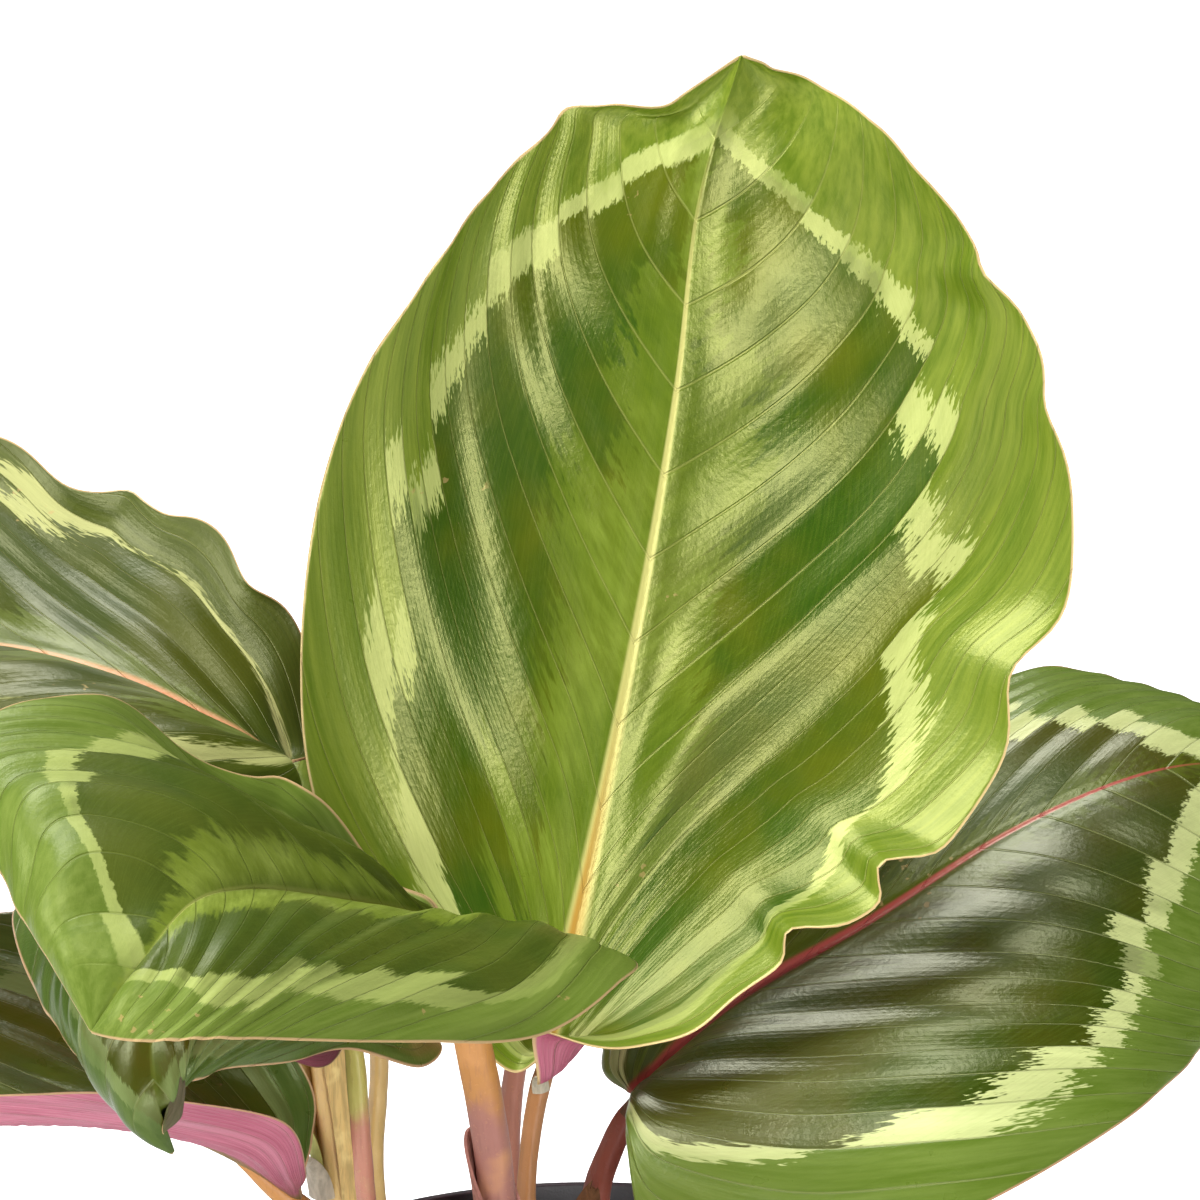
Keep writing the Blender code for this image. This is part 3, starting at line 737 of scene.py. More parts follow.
def finish_piece(piece, nodes=()):
    """Hands a finished piece to the frame: what carries it and what it stands for."""
    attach(piece, "root")
    if nodes:
        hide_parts(*nodes)


def as_plain_mesh(piece):
    """A plain mesh object in place of one that modifiers shape."""
    depsgraph = bpy.context.evaluated_depsgraph_get()
    mesh = bpy.data.meshes.new_from_object(
        piece.evaluated_get(depsgraph), preserve_all_data_layers=True, depsgraph=depsgraph
    )
    name = piece.name
    bpy.data.objects.remove(piece)
    made = bpy.data.objects.new(name, mesh)
    bpy.context.scene.collection.objects.link(made)
    return made


class Graph:
    """Adds nodes to a tree and links them; a value may be a number or another node's output."""

    def __init__(self, tree):
        self.tree = tree

    def add(self, kind, inputs=(), **options):
        node = self.tree.nodes.new(kind)
        place = len(self.tree.nodes)
        node.location = (220 * (place // 6), -190 * (place % 6))
        for name, value in options.items():
            setattr(node, name, value)
        for name, value in dict(inputs).items():
            self.feed(node.inputs[name], value)
        return node

    def feed(self, socket, value):
        if isinstance(value, bpy.types.NodeSocket):
            self.tree.links.new(value, socket)
        else:
            socket.default_value = value

    def math(self, operation, first, second=0.0, third=0.0):
        node = self.add("ShaderNodeMath", operation=operation)
        for socket, value in zip(node.inputs, (first, second, third)):
            self.feed(socket, value)
        return node.outputs[0]

    def plus(self, first, *others):
        for other in others:
            first = self.math("ADD", first, other)
        return first

    def times(self, first, *others):
        for other in others:
            first = self.math("MULTIPLY", first, other)
        return first

    def rise(self, value, low, high):
        """From 0 at low to 1 at high, smoothly."""
        inputs = {"Value": value, "From Min": low, "From Max": high}
        return self.add("ShaderNodeMapRange", inputs, interpolation_type="SMOOTHSTEP").outputs["Result"]

    def fall(self, value, low, high):
        """From 1 at low to 0 at high, smoothly."""
        return self.math("SUBTRACT", 1.0, self.rise(value, low, high))

    def span(self, value, low, high):
        """From low where the value is 0 to high where it is 1."""
        inputs = {"Value": value, "To Min": low, "To Max": high}
        return self.add("ShaderNodeMapRange", inputs).outputs["Result"]

    def vector(self, x, y, z=0.0):
        return self.add("ShaderNodeCombineXYZ", {"X": x, "Y": y, "Z": z}).outputs["Vector"]

    def parts(self, vector):
        return self.add("ShaderNodeSeparateXYZ", {"Vector": vector}).outputs

    def attribute(self, name):
        return self.add("ShaderNodeAttribute", attribute_name=name).outputs["Vector"]

    def centred(self, value):
        """A value from 0 to 1, moved to run from -0.5 to 0.5."""
        return self.math("SUBTRACT", value, 0.5)

    def place(self):
        """Where a point is on its piece."""
        return self.add("ShaderNodeTexCoord").outputs["Object"]

    def drawn_out(self, place, upwards):
        """The place with its height scaled: noise read there runs upwards if that is under 1."""
        return self.add("ShaderNodeMapping", {"Vector": place, "Scale": (1.0, 1.0, upwards)}).outputs[0]

    def noise(self, vector, scale, detail=2.0, roughness=0.5):
        inputs = {"Vector": vector, "Scale": scale, "Detail": detail, "Roughness": roughness}
        return self.add("ShaderNodeTexNoise", inputs).outputs["Fac"]

    def random(self, vector):
        node = self.add("ShaderNodeTexWhiteNoise", {"Vector": vector}, noise_dimensions="3D")
        return self.parts(node.outputs["Color"])

    def blend(self, share, first, second):
        node = self.add("ShaderNodeMix", data_type="RGBA")
        for name, value in (("Factor_Float", share), ("A_Color", first), ("B_Color", second)):
            socket = next(entry for entry in node.inputs if entry.identifier == name)
            self.feed(socket, (*value, 1.0) if isinstance(value, tuple) else value)
        return next(entry for entry in node.outputs if entry.identifier == "Result_Color")


def new_group(name, inputs, outputs):
    """An empty shader node group with float sockets, and the graph that fills it."""
    tree = bpy.data.node_groups.new(name, "ShaderNodeTree")
    for label, default in inputs.items():
        socket = tree.interface.new_socket(name=label, in_out="INPUT", socket_type="NodeSocketFloat")
        socket.default_value = default
    for label in outputs:
        tree.interface.new_socket(name=label, in_out="OUTPUT", socket_type="NodeSocketFloat")
    graph = Graph(tree)
    return tree, graph, graph.add("NodeGroupInput").outputs, graph.add("NodeGroupOutput").inputs


def new_material(name, roughness=0.5, specular=0.5):
    """A material and its graph, with a Principled shader whose sockets the caller feeds."""
    look = bpy.data.materials.new(name)
    look.use_nodes = True
    shader = look.node_tree.nodes["Principled BSDF"]
    shader.inputs["Roughness"].default_value = roughness
    shader.inputs["Specular IOR Level"].default_value = specular
    return look, Graph(look.node_tree), shader.inputs


def feed_look(graph, shader, color, roughness, relief, depth):
    """Feeds a shader its colour, its roughness and a relief that is so many metres deep."""
    graph.feed(shader["Base Color"], color)
    graph.feed(shader["Roughness"], roughness)
    bump = graph.add("ShaderNodeBump", {"Height": relief, "Distance": depth})
    graph.feed(shader["Normal"], bump.outputs["Normal"])


def tinted(color, share, lift=0.0):
    """A colour times a share, and lifted evenly."""
    return tuple(min(1.0, share * channel + lift) for channel in color)


def leaf_pattern():
    """Masks of a leaf's pattern, worked out from the places stored on its blade."""
    inputs = {"Veins": 20.0, "Seed": 0.0, "Ring Width": 2.4, **PATTERN_SHARES}
    outputs = ("Ring", "Heart", "Margin", "Vein", "Rib", "Cross", "Streak", "Midrib", "Core", "Edge")
    tree, graph, given, out = new_group("leaf pattern", inputs, outputs)
    across, vein, share = graph.parts(graph.attribute("leaf_place"))
    ring_gap, heart_gap, reach = graph.parts(graph.attribute("leaf_bands"))
    middle, edge, half_width = graph.parts(graph.attribute("leaf_reach"))
    half = graph.plus(graph.math("GREATER_THAN", across, 0.0), given["Seed"])
    cells = graph.times(vein, given["Veins"])
    cell = graph.math("FLOOR", cells)
    within = graph.math("FRACT", cells)
    lot = graph.random(graph.vector(cell, half, 0.5))

    def strokes(a_panel, a_half, detail, roughness=0.6):
        """Noise with so many strokes side by side in a panel, and so many end to end in a half leaf."""
        spot = graph.vector(graph.times(cells, a_panel), graph.times(reach, a_half), half)
        return graph.noise(spot, 1.0, detail, roughness)

    # Strokes along the veins push the borders of the ring and of the heart in and out
    stroke = strokes(5.0, 11.0, 3.0)
    teeth = strokes(8.0, 34.0, 2.0)
    broad = strokes(1.3, 4.0, 1.0, 0.5)
    rough = strokes(14.0, 60.0, 2.0)
    ragged = graph.plus(graph.times(teeth, 0.6), graph.times(rough, 0.4))
    push = graph.times(graph.centred(ragged), given["Feather"])
    jump = graph.times(graph.centred(lot[0]), given["Jag"])
    lean = graph.times(graph.centred(within), given["Jag"], 0.2)
    off_ring = graph.plus(ring_gap, push, jump, lean)
    width = graph.times(given["Ring Width"], graph.span(lot[1], 0.6, 1.4))
    away = graph.times(graph.math("ABSOLUTE", off_ring), graph.math("MAXIMUM", half_width, 18.0))
    distance = graph.math("DIVIDE", away, width)
    kept = graph.math("SUBTRACT", graph.plus(broad, lot[2]), given["Wear"])
    worn = graph.times(graph.rise(vein, -0.50, -0.38), graph.rise(kept, 0.45, 0.75))
    shown = graph.times(graph.span(worn, 0.45, 1.0), graph.fall(share, 0.88, 0.96))
    graph.feed(out["Ring"], graph.times(graph.fall(distance, 0.78, 1.10), shown))
    graph.feed(out["Margin"], graph.rise(off_ring, -0.015, 0.02))

    push_heart = graph.times(graph.centred(stroke), given["Feather"], 2.6)
    jump_heart = graph.times(graph.centred(lot[2]), given["Jag"], 1.6)
    off_heart = graph.plus(heart_gap, push_heart, jump_heart)
    graph.feed(out["Heart"], graph.fall(off_heart, -0.05, 0.03))

    to_vein = graph.math("MINIMUM", within, graph.math("SUBTRACT", 1.0, within))
    graph.feed(out["Vein"], graph.times(graph.fall(to_vein, 0.006, 0.032), graph.fall(share, 0.80, 1.0)))
    sixths = graph.math("FRACT", graph.times(cells, 6.0))
    graph.feed(out["Rib"], graph.fall(graph.math("ABSOLUTE", graph.centred(sixths)), 0.02, 0.3))
    graph.feed(out["Cross"], strokes(1.4, 190.0, 2.0))
    graph.feed(out["Streak"], graph.math("MULTIPLY_ADD", stroke, 0.6, graph.times(broad, 0.4)))

    slender = graph.math("POWER", graph.math("SUBTRACT", 1.0, share), 1.6)
    rib_width = graph.math("MULTIPLY_ADD", slender, given["Rib Width"], 0.14)
    thickness = graph.math("DIVIDE", middle, rib_width)
    graph.feed(out["Midrib"], graph.times(graph.fall(thickness, 0.5, 1.2), graph.fall(share, 0.72, 0.97)))
    graph.feed(out["Core"], graph.times(graph.fall(thickness, 0.2, 0.8), graph.fall(share, 0.12, 0.42)))
    graph.feed(out["Edge"], graph.fall(edge, 0.06, 0.30))
    return tree


def pattern_node(graph, group, sizes, seed, ring_width):
    """The leaf pattern with one leaf's values; gives its masks by name."""
    node = graph.add("ShaderNodeGroup", node_tree=group)
    graph.feed(node.inputs["Veins"], float(sizes["veins"]))
    graph.feed(node.inputs["Seed"], float(seed))
    graph.feed(node.inputs["Ring Width"], to_mm(ring_width))
    for name, usual in PATTERN_SHARES.items():
        graph.feed(node.inputs[name], sizes.get(name.lower().replace(" ", "_"), usual))
    return node.outputs


def upper_material(name, sizes, group, seed, ring_width):
    """Satin upper side: dark inside, pale jagged ring, green margin and pale feathers at the midrib."""
    tones = PALETTES[sizes["palette"]]
    look, graph, shader = new_material(f"{name}_upper", specular=tones["gloss"])
    shader["Specular Tint"].default_value = (*tones["sheen"], 1.0)
    mask = pattern_node(graph, group, sizes, seed, ring_width)
    place = graph.place()
    cloud = graph.rise(graph.noise(place, 45.0, 3.0, 0.55), 0.35, 0.68)
    grain = graph.noise(place, 900.0, 3.0, 0.6)
    soft = graph.rise(mask["Streak"], 0.3, 0.7)

    deep = graph.blend(cloud, tones["deep"], tones["deep_warm"])
    margin = graph.blend(soft, tones["margin"], tones["margin_light"])
    color = graph.blend(mask["Margin"], deep, margin)
    heart = graph.blend(graph.times(soft, cloud), tones["heart"], tones["heart_light"])
    color = graph.blend(graph.times(mask["Heart"], graph.span(soft, 0.55, 1.0)), color, heart)
    color = graph.blend(graph.times(mask["Ring"], graph.span(soft, 0.8, 1.0)), color, tones["ring"])
    color = graph.blend(graph.times(graph.rise(mask["Cross"], 0.4, 0.7), 0.12), color, tones["margin_light"])
    color = graph.blend(graph.times(mask["Vein"], 0.5), color, tones["vein"])
    midrib = graph.blend(mask["Core"], tones["midrib"], tones["midrib_foot"])
    color = graph.blend(mask["Midrib"], color, midrib)
    color = graph.blend(mask["Edge"], color, tones["edge"])
    nicks = graph.rise(graph.noise(place, 650.0, 2.0), 0.66, 0.70)
    scarred = graph.rise(graph.noise(place, 55.0, 1.0), 0.68, 0.72)
    color = graph.blend(graph.times(nicks, scarred, 0.6), color, SCAR_TONE)

    rough = graph.span(graph.noise(place, 220.0, 2.0), 0.20 + tones["matte"], 0.30 + tones["matte"])
    rough = graph.plus(rough, graph.times(mask["Ring"], 0.08))
    relief = graph.plus(
        graph.times(mask["Vein"], -0.9), graph.times(mask["Rib"], 0.05),
        graph.times(mask["Cross"], 0.08), graph.times(grain, 0.45),
    )
    feed_look(graph, shader, color, rough, relief, 0.00013)
    return look


def under_material(name, sizes, group, seed, ring_width):
    """Purple underside with raised paler veins, green near the tip where the leaf is."""
    tones = PALETTES[sizes["palette"]]
    look, graph, shader = new_material(f"{name}_under", specular=0.4)
    mask = pattern_node(graph, group, sizes, seed, ring_width)
    place = graph.place()
    cloud = graph.rise(graph.noise(place, 60.0, 3.0), 0.3, 0.7)
    soft = graph.rise(mask["Streak"], 0.3, 0.7)
    color = graph.blend(graph.times(soft, graph.span(cloud, 0.4, 1.0)), UNDER_DEEP, UNDER_LIGHT)
    color = graph.blend(graph.times(mask["Ring"], 0.5), color, UNDER_LIGHT)
    color = graph.blend(graph.times(mask["Vein"], 0.7), color, UNDER_VEIN)
    color = graph.blend(graph.times(mask["Rib"], 0.15), color, UNDER_VEIN)
    color = graph.blend(graph.times(mask["Midrib"], 0.85), color, tones["midrib_foot"])
    color = graph.blend(mask["Edge"], color, tones["edge"])
    if "green_tip" in sizes:
        share = graph.parts(graph.attribute("leaf_place"))[2]
        near_tip = graph.times(graph.rise(share, 0.6, 0.8), sizes["green_tip"])
        color = graph.blend(near_tip, color, tones["margin"])
    relief = graph.plus(mask["Vein"], graph.times(mask["Rib"], 0.3), graph.times(mask["Cross"], 0.5))
    feed_look(graph, shader, color, graph.span(cloud, 0.42, 0.6), relief, 0.00016)
    return look


def fold_heights(given, veins, rng):
    """Shares of the fold height at the side veins: given ones, or up and down in turn by chance."""
    if given:
        return np.array(given)
    count = FAN_VEINS + veins + 1
    return np.resize((1.0, -1.0), count) * rng.uniform(0.3, 1.0, count)


def blade_relief(cells, r, u, half_width, folds, sizes, settings, seed):
    """How far the blade stands off its middle surface: panels between veins and a rippled edge."""
    rng = np.random.default_rng(seed)
    heights = fold_heights(folds, int(np.max(cells)), rng)
    turn = rng.uniform(0, 2 * np.pi)
    fold = pleat = 0
    # The mean over a short stretch rounds the creases at the veins
    for shift in CREASE_SHIFTS:
        cell = np.floor(cells + shift).astype(int)
        within = cells + shift - cell
        place = np.clip(cell + FAN_VEINS, 0, len(heights) - 2)
        here, after = heights[place], heights[place + 1]
        fold = fold + (here + (after - here) * within) / len(CREASE_SHIFTS)
        pleat = pleat + (4 * within * (1 - within) - 2 / 3) / len(CREASE_SHIFTS)
    fold = fold * to_mm(settings.fold) * sizes.get("fold_share", 1.0)
    pleat = pleat * to_mm(settings.pleat) * sizes.get("pleat_share", 1.0)
    # All relief fades at both ends and where a half leaf is narrow, the panels also at midrib and edge
    ends = np.sin(np.pi * u) ** 0.4
    body = smooth_step(r, 0.02, 0.22) * (1 - 0.75 * r**5) * ends
    ripple = to_mm(settings.ripple) * r**6 * np.sin(2 * np.pi * cells / RIPPLE_PANELS + turn) * ends
    room = smooth_step(half_width, 4.0, 16.0)
    return (body * (pleat + fold) + ripple) * room


def blade_faces(rings, count, columns):
    """Faces of a blade's closed shell: those of its upper side and edges, and those of its underside."""
    upper, lower = [], []
    base, tip, last = rings * count, rings * count + 1, (rings - 1) * count
    for k in range(rings - 1):
        for j in range(count):
            after = (j + 1) % count
            face = (k * count + j, k * count + after, (k + 1) * count + after, (k + 1) * count + j)
            (lower if columns < j < count - 2 else upper).append(face)
    for j in range(count):
        after = (j + 1) % count
        ends = [(base, after, j), (tip, last + j, last + after)]
        (lower if columns < j < count - 2 else upper).extend(ends)
    return upper, lower


def blade_piece(name, sizes, settings, looks, seed):
    """A closed thin blade: rings of points round its two faces, and one point at base and at tip."""
    leaf = Leaf(sizes)
    u = np.linspace(0, 1, settings.rows + 1)
    even = np.linspace(0, 1, settings.columns + 1)
    r = even - COLUMN_CROWDING * np.sin(2 * np.pi * even)
    rows, reach = np.meshgrid(u, r, indexing="ij")
    halves = {side: leaf.surface(rows, reach, side) for side in (-1, 1)}
    grid = np.concatenate([halves[-1][:, :0:-1], halves[1]], axis=1)
    across = np.concatenate([-reach[:, :0:-1], reach], axis=1)
    row = np.repeat(u[:, None], grid.shape[1], axis=1)
    r = np.abs(across)
    share = spine_share(row)

    def by_half(left, right):
        return np.where(across < 0, left, right)

    def curves(pair):
        """Curves through shares of the half-width at even places on the spine, one for each half."""
        return by_half(through(pair[0], share), through(pair[1], share))

    half_width = by_half(*(leaf.half_width(u, side)[:, None] for side in (-1, 1)))
    vein = vein_place(row, r)
    middle, edge = r * half_width, (1 - r) * half_width
    ring_gap = (r - curves(sizes["rings"])) / curves(sizes.get("ring_widths", (EVEN_RING, EVEN_RING)))
    heart_gap = r - curves(sizes["hearts"])

    normals = grid_normals(grid)
    cells = vein * sizes["veins"]
    relief = by_half(*(
        blade_relief(cells, r, row, half_width, folds, sizes, settings, half_seed)
        for half_seed, folds in enumerate(sizes.get("folds", (None, None)), start=seed)
    ))
    grid = grid + normals * relief[..., None]
    taper = (1 - share) ** 0.6
    bank = BANK_HEIGHT * bell(middle, BANK_PLACE, BANK_WIDTH)
    groove = taper * (bank - GROOVE_DEPTH * bell(middle, 0.0, GROOVE_WIDTH))
    keel = to_mm(settings.keel) * taper * bell(middle, 0.0, KEEL_WIDTH)
    thick = to_mm(settings.thickness) * (1 - 0.45 * r**10)
    top = grid + normals * (thick / 2 + groove)[..., None]
    bottom = grid - normals * (thick / 2 + keel)[..., None]
    out_left = unit(grid[:, 0] - grid[:, 1]) * EDGE_ROUND
    out_right = unit(grid[:, -1] - grid[:, -2]) * EDGE_ROUND

    def ring_of(upper, left, right):
        """One value for each point round the blade: upper face, right edge, lower face, left edge."""
        lower = upper if left is None else bottom
        left = upper[:, :1] if left is None else left[:, None]
        right = upper[:, -1:] if right is None else right[:, None]
        return np.concatenate([upper, right, lower[:, ::-1], left], axis=1)[1:-1]

    body = ring_of(top, grid[:, 0] + out_left, grid[:, -1] + out_right)
    points = np.concatenate([body.reshape(-1, 3), grid[:1, 0], grid[-1:, 0]])
    columns = grid.shape[1]
    upper, lower = blade_faces(*body.shape[:2], columns)
    piece = add_mesh(f"leaf_{name}", points, upper + lower, looks, faces_from=(len(upper),))

    def stored(*fields):
        """Fields of the grid as one vector for each point of the mesh."""
        values = np.stack(fields, -1)
        ends = np.stack([values[0, columns // 2], values[-1, columns // 2]])
        return np.concatenate([ring_of(values, None, None).reshape(-1, 3), ends])

    store_vectors(piece, "leaf_place", stored(across, vein, share))
    store_vectors(piece, "leaf_bands", stored(ring_gap, heart_gap, r))
    store_vectors(piece, "leaf_reach", stored(middle, edge, half_width))
    return piece


def stalk_material(name, tones, joint):
    """Satin stalk whose colour changes towards its top, with fine lengthwise streaks."""
    look, graph, shader = new_material(f"{name}_stalk")
    along = graph.add("ShaderNodeAttribute", attribute_name="along").outputs["Fac"]
    place = graph.place()
    streak = graph.noise(graph.drawn_out(place, 0.07), 1400.0, 3.0, 0.6)
    cloud = graph.noise(place, 110.0, 3.0)
    speck = graph.rise(graph.noise(place, 1900.0, 1.0), 0.64, 0.72)
    foot, body, top = (STALK_TONES[tone] for tone in tones)
    shifted = graph.plus(along, graph.times(graph.centred(cloud), 0.25))
    color = graph.blend(graph.rise(shifted, 0.15, 0.4), foot, body)
    color = graph.blend(graph.rise(shifted, joint - 0.03, joint + 0.05), color, top)
    color = graph.blend(graph.times(graph.rise(streak, 0.5, 0.8), 0.5), color, tinted(body, 0.7))
    paler = tinted(top, 1.25, 0.06)
    color = graph.blend(graph.times(graph.rise(cloud, 0.5, 0.75), 0.5), color, paler)
    color = graph.blend(graph.times(speck, 0.15), color, paler)
    relief = graph.plus(streak, graph.times(speck, 0.3))
    feed_look(graph, shader, color, graph.span(cloud, 0.32, 0.52), relief, 0.00010)
    return look


def new_geometry_group(name, inputs):
    """A geometry node group that takes and gives a geometry, its graph and its inputs' sockets."""
    tree = bpy.data.node_groups.new(name, "GeometryNodeTree")
    for label, kind in {"Geometry": "Geometry", **inputs}.items():
        tree.interface.new_socket(name=label, in_out="INPUT", socket_type=f"NodeSocket{kind}")
    tree.interface.new_socket(name="Geometry", in_out="OUTPUT", socket_type="NodeSocketGeometry")
    graph = Graph(tree)
    return tree, graph, graph.add("NodeGroupInput").outputs


def push_points(graph, geometry, direction, distance):
    """Moves a geometry's points along a direction by a distance."""
    shift = graph.add("ShaderNodeVectorMath", {"Vector": direction, "Scale": distance}, operation="SCALE")
    inputs = {"Geometry": geometry, "Offset": shift.outputs["Vector"]}
    return graph.add("GeometryNodeSetPosition", inputs).outputs["Geometry"]


def give_painted(graph, geometry, look):
    """Ends a tree: sets the material of its geometry and gives it out."""
    painted = graph.add("GeometryNodeSetMaterial", {"Geometry": geometry, "Material": look})
    graph.add("NodeGroupOutput", {"Geometry": painted.outputs["Geometry"]})


def stalk_tree():
    """Geometry nodes that turn a path with radii into a grooved stalk."""
    tree, graph, given = new_geometry_group("stalk", {
        "Sides": "Int", "Rings": "Int", "Groove": "Float", "Unevenness": "Float", "Material": "Material",
    })
    circle = graph.add("GeometryNodeCurvePrimitiveCircle", {"Resolution": given["Sides"], "Radius": 1.0})
    spot = graph.add("GeometryNodeInputPosition").outputs["Position"]
    dip = graph.times(graph.rise(graph.parts(spot)[1], 0.55, 1.0), given["Groove"], -1.0)
    profile = push_points(graph, circle.outputs["Curve"], spot, dip)
    path = graph.add("GeometryNodeResampleCurve", {"Curve": given["Geometry"], "Count": given["Rings"]})
    factor = graph.add("GeometryNodeSplineParameter").outputs["Factor"]
    marked = graph.add(
        "GeometryNodeStoreNamedAttribute",
        {"Geometry": path.outputs["Curve"], "Name": "along", "Value": factor},
        data_type="FLOAT", domain="POINT",
    )
    skin = graph.add("GeometryNodeCurveToMesh", {
        "Curve": marked.outputs["Geometry"],
        "Profile Curve": profile,
        "Scale": graph.add("GeometryNodeInputRadius").outputs["Radius"],
        "Fill Caps": True,
    })
    lumps = graph.noise(spot, 260.0)
    swing = graph.times(graph.centred(lumps), given["Unevenness"])
    normal = graph.add("GeometryNodeInputNormal").outputs["Normal"]
    uneven = push_points(graph, skin.outputs["Mesh"], normal, swing)
    smooth = graph.add("GeometryNodeSetShadeSmooth", {"Geometry": uneven})
    real = graph.add("GeometryNodeRealizeInstances", {"Geometry": smooth.outputs["Geometry"]})
    give_painted(graph, real.outputs["Geometry"], given["Material"])
    return tree


def set_inputs(modifier, values):
    """Sets a node modifier's inputs by the identifiers of their sockets."""
    for socket in modifier.node_group.interface.items_tree:
        if socket.in_out == "INPUT" and socket.name in values:
            modifier[socket.identifier] = values[socket.name]


def stalk_path(sizes):
    """Points and radii of a stalk that bends into its leaf's midrib, under the blade."""
    line = Line(sizes["stalk"])
    leaf = Leaf(sizes)
    shares = np.linspace(0, STALK_END, 30)
    points = list(line.at(shares))
    radii = list(through(sizes["radius"], shares))
    forward = leaf.spine.tangent(0.05)
    across = unit(leaf.surface(0.12, 0.5, 1) - leaf.surface(0.12, 0.5, -1))
    up = np.cross(across, forward)
    top = sizes["radius"][-1]
    for share, sink, size in STALK_TUCK:
        points.append(leaf.spine.at(share) - up * top * sink)
        radii.append(top * size)
    return np.array(points), np.array(radii)


def path_object(name, points, radii):
    """A curve object through points, with a radius at each."""
    curve = bpy.data.curves.new(name, "CURVE")
    curve.dimensions = "3D"
    spline = curve.splines.new("POLY")
    spline.points.add(len(points) - 1)
    for entry, point, radius in zip(spline.points, points * MM, radii * MM):
        entry.co = (*point, 1.0)
        entry.radius = radius
    path = bpy.data.objects.new(name, curve)
    bpy.context.scene.collection.objects.link(path)
    return path


def smooth_path(points, radii, count):
    """A path's points and radii along a smooth curve through them, with its bend eased."""
    line = np.concatenate([points, radii[:, None]], axis=1)
    steps = np.concatenate([[0], np.cumsum(np.linalg.norm(np.diff(points, axis=0), axis=1))])
    even = np.linspace(0, steps[-1], count)
    line = np.stack([np.interp(even, steps, line[:, k]) for k in range(4)], -1)
    for _ in range(STALK_EASING):
        line[1:-1] = (line[:-2] + 2 * line[1:-1] + line[2:]) / 4
    return line[:, :3], line[:, 3]


def stalk_piece(name, sizes, settings, tree):
    """A stalk's path made solid by the stalk tree."""
    points, radii = smooth_path(*stalk_path(sizes), STALK_POINTS)
    path = path_object(f"stalk_{name}_finished", points, radii)
    step = path.modifiers.new("Stalk", "NODES")
    step.node_group = tree
    set_inputs(step, {
        "Sides": settings.sides,
        "Rings": settings.rings,
        "Groove": settings.groove,
        "Unevenness": STALK_UNEVENNESS,
        "Material": stalk_material(name, sizes["stalk_tones"], sizes.get("joint", USUAL_JOINT)),
    })
    return as_plain_mesh(path)


def thick_sheet(name, grid, thickness, look):
    """A closed thin solid from a grid of points."""
    normals = grid_normals(grid)
    rows, columns = grid.shape[:2]
    points = np.concatenate([
        (grid + normals * thickness / 2).reshape(-1, 3), (grid - normals * thickness / 2).reshape(-1, 3)
    ])
    under = rows * columns
    faces = []
    for k in range(rows - 1):
        for j in range(columns - 1):
            a, b = k * columns + j, k * columns + j + 1
            c, d = b + columns, a + columns
            faces.append((a, b, c, d))
            faces.append((d + under, c + under, b + under, a + under))
    border = [k * columns for k in range(rows)]
    border += [(rows - 1) * columns + j for j in range(1, columns)]
    border += [k * columns + columns - 1 for k in range(rows - 2, -1, -1)]
    border += list(range(columns - 2, 0, -1))
    for here, after in zip(border, border[1:] + border[:1]):
        faces.append((here, after, after + under, here + under))
    return add_mesh(name, points, faces, [look])


# Sheaths clasp a stalk's lower part: the shares of the stalk from and to which each reaches, how far
# its top edge slants, how wide it gapes in degrees, which way it opens, and how far it flares. Each
# is clear of its stalk by a gap in millimetres, and its slit's borders curl outwards.
SHEATH_GAP = 0.35
SLIT_CURL = 0.9
SHEATH_TURNS = 40
SHEATH_RINGS = 60
SHEATHS = {
    "front": {"first": 0.04, "last": 0.64, "slant": 0.20, "gap": 70, "opens": -35, "flare": 0.7,
              "tone": "purple"},
    "left_back": {"first": 0.04, "last": 0.70, "slant": 0.12, "gap": 60, "opens": -120, "flare": 0.5,
                  "tone": "yellow"},
    "right": {"first": 0.04, "last": 0.55, "slant": 0.16, "gap": 80, "opens": 200, "flare": 0.6,
              "tone": "pink"},
    "low_left": {"first": 0.05, "last": 0.55, "slant": 0.12, "gap": 80, "opens": -60, "flare": 0.5,
                 "tone": "orange"},
    "back": {"first": 0.04, "last": 0.45, "slant": 0.10, "gap": 70, "opens": 90, "flare": 0.6,
             "tone": "pink"},
}

# Dry scraps at the stalks: where each is rooted, where it points, its length and width, how far it
# curls over in degrees, which way it faces, and its tone. Each narrows, is hollow across like a
# shaving, and frays at its end, by shares of its width.
SCRAP_THICKNESS = 0.25
SCRAP_STEPS = 24
SCRAP_POINTS = 9
SCRAP_NARROWING = 0.75
SCRAP_HOLLOW = 0.55
SCRAP_FRAY = 0.12
SCRAPS = (
    {"at": (-39.5, 1.0, 107), "to": (-0.10, -0.15, 1.0), "length": 9, "width": 4.0, "curl": 35,
     "facing": -110, "tone": (0.560, 0.500, 0.380)},
    {"at": (-40.2, 1.5, 110), "to": (-0.05, 0.10, 1.0), "length": 10, "width": 3.2, "curl": 20,
     "facing": -150, "tone": (0.400, 0.420, 0.120)},
    {"at": (-2.6, -2.5, 98), "to": (0.25, -0.10, 1.0), "length": 16, "width": 5.0, "curl": 30,
     "facing": -90, "tone": (0.230, 0.105, 0.045)},
    {"at": (-8.6, -10.3, 100), "to": (0.15, -0.15, 1.0), "length": 9, "width": 3.0, "curl": 40,
     "facing": -70, "tone": (0.420, 0.240, 0.110)},
    {"at": (6.0, -5.6, 122), "to": (0.55, -0.10, 1.0), "length": 6, "width": 3.4, "curl": 60,
     "facing": -100, "tone": (0.200, 0.100, 0.050)},
    {"at": (-6.6, -8.0, 127), "to": (-0.15, -0.10, 1.0), "length": 4.5, "width": 2.4, "curl": 70,
     "facing": -80, "tone": (0.600, 0.540, 0.400)},
)


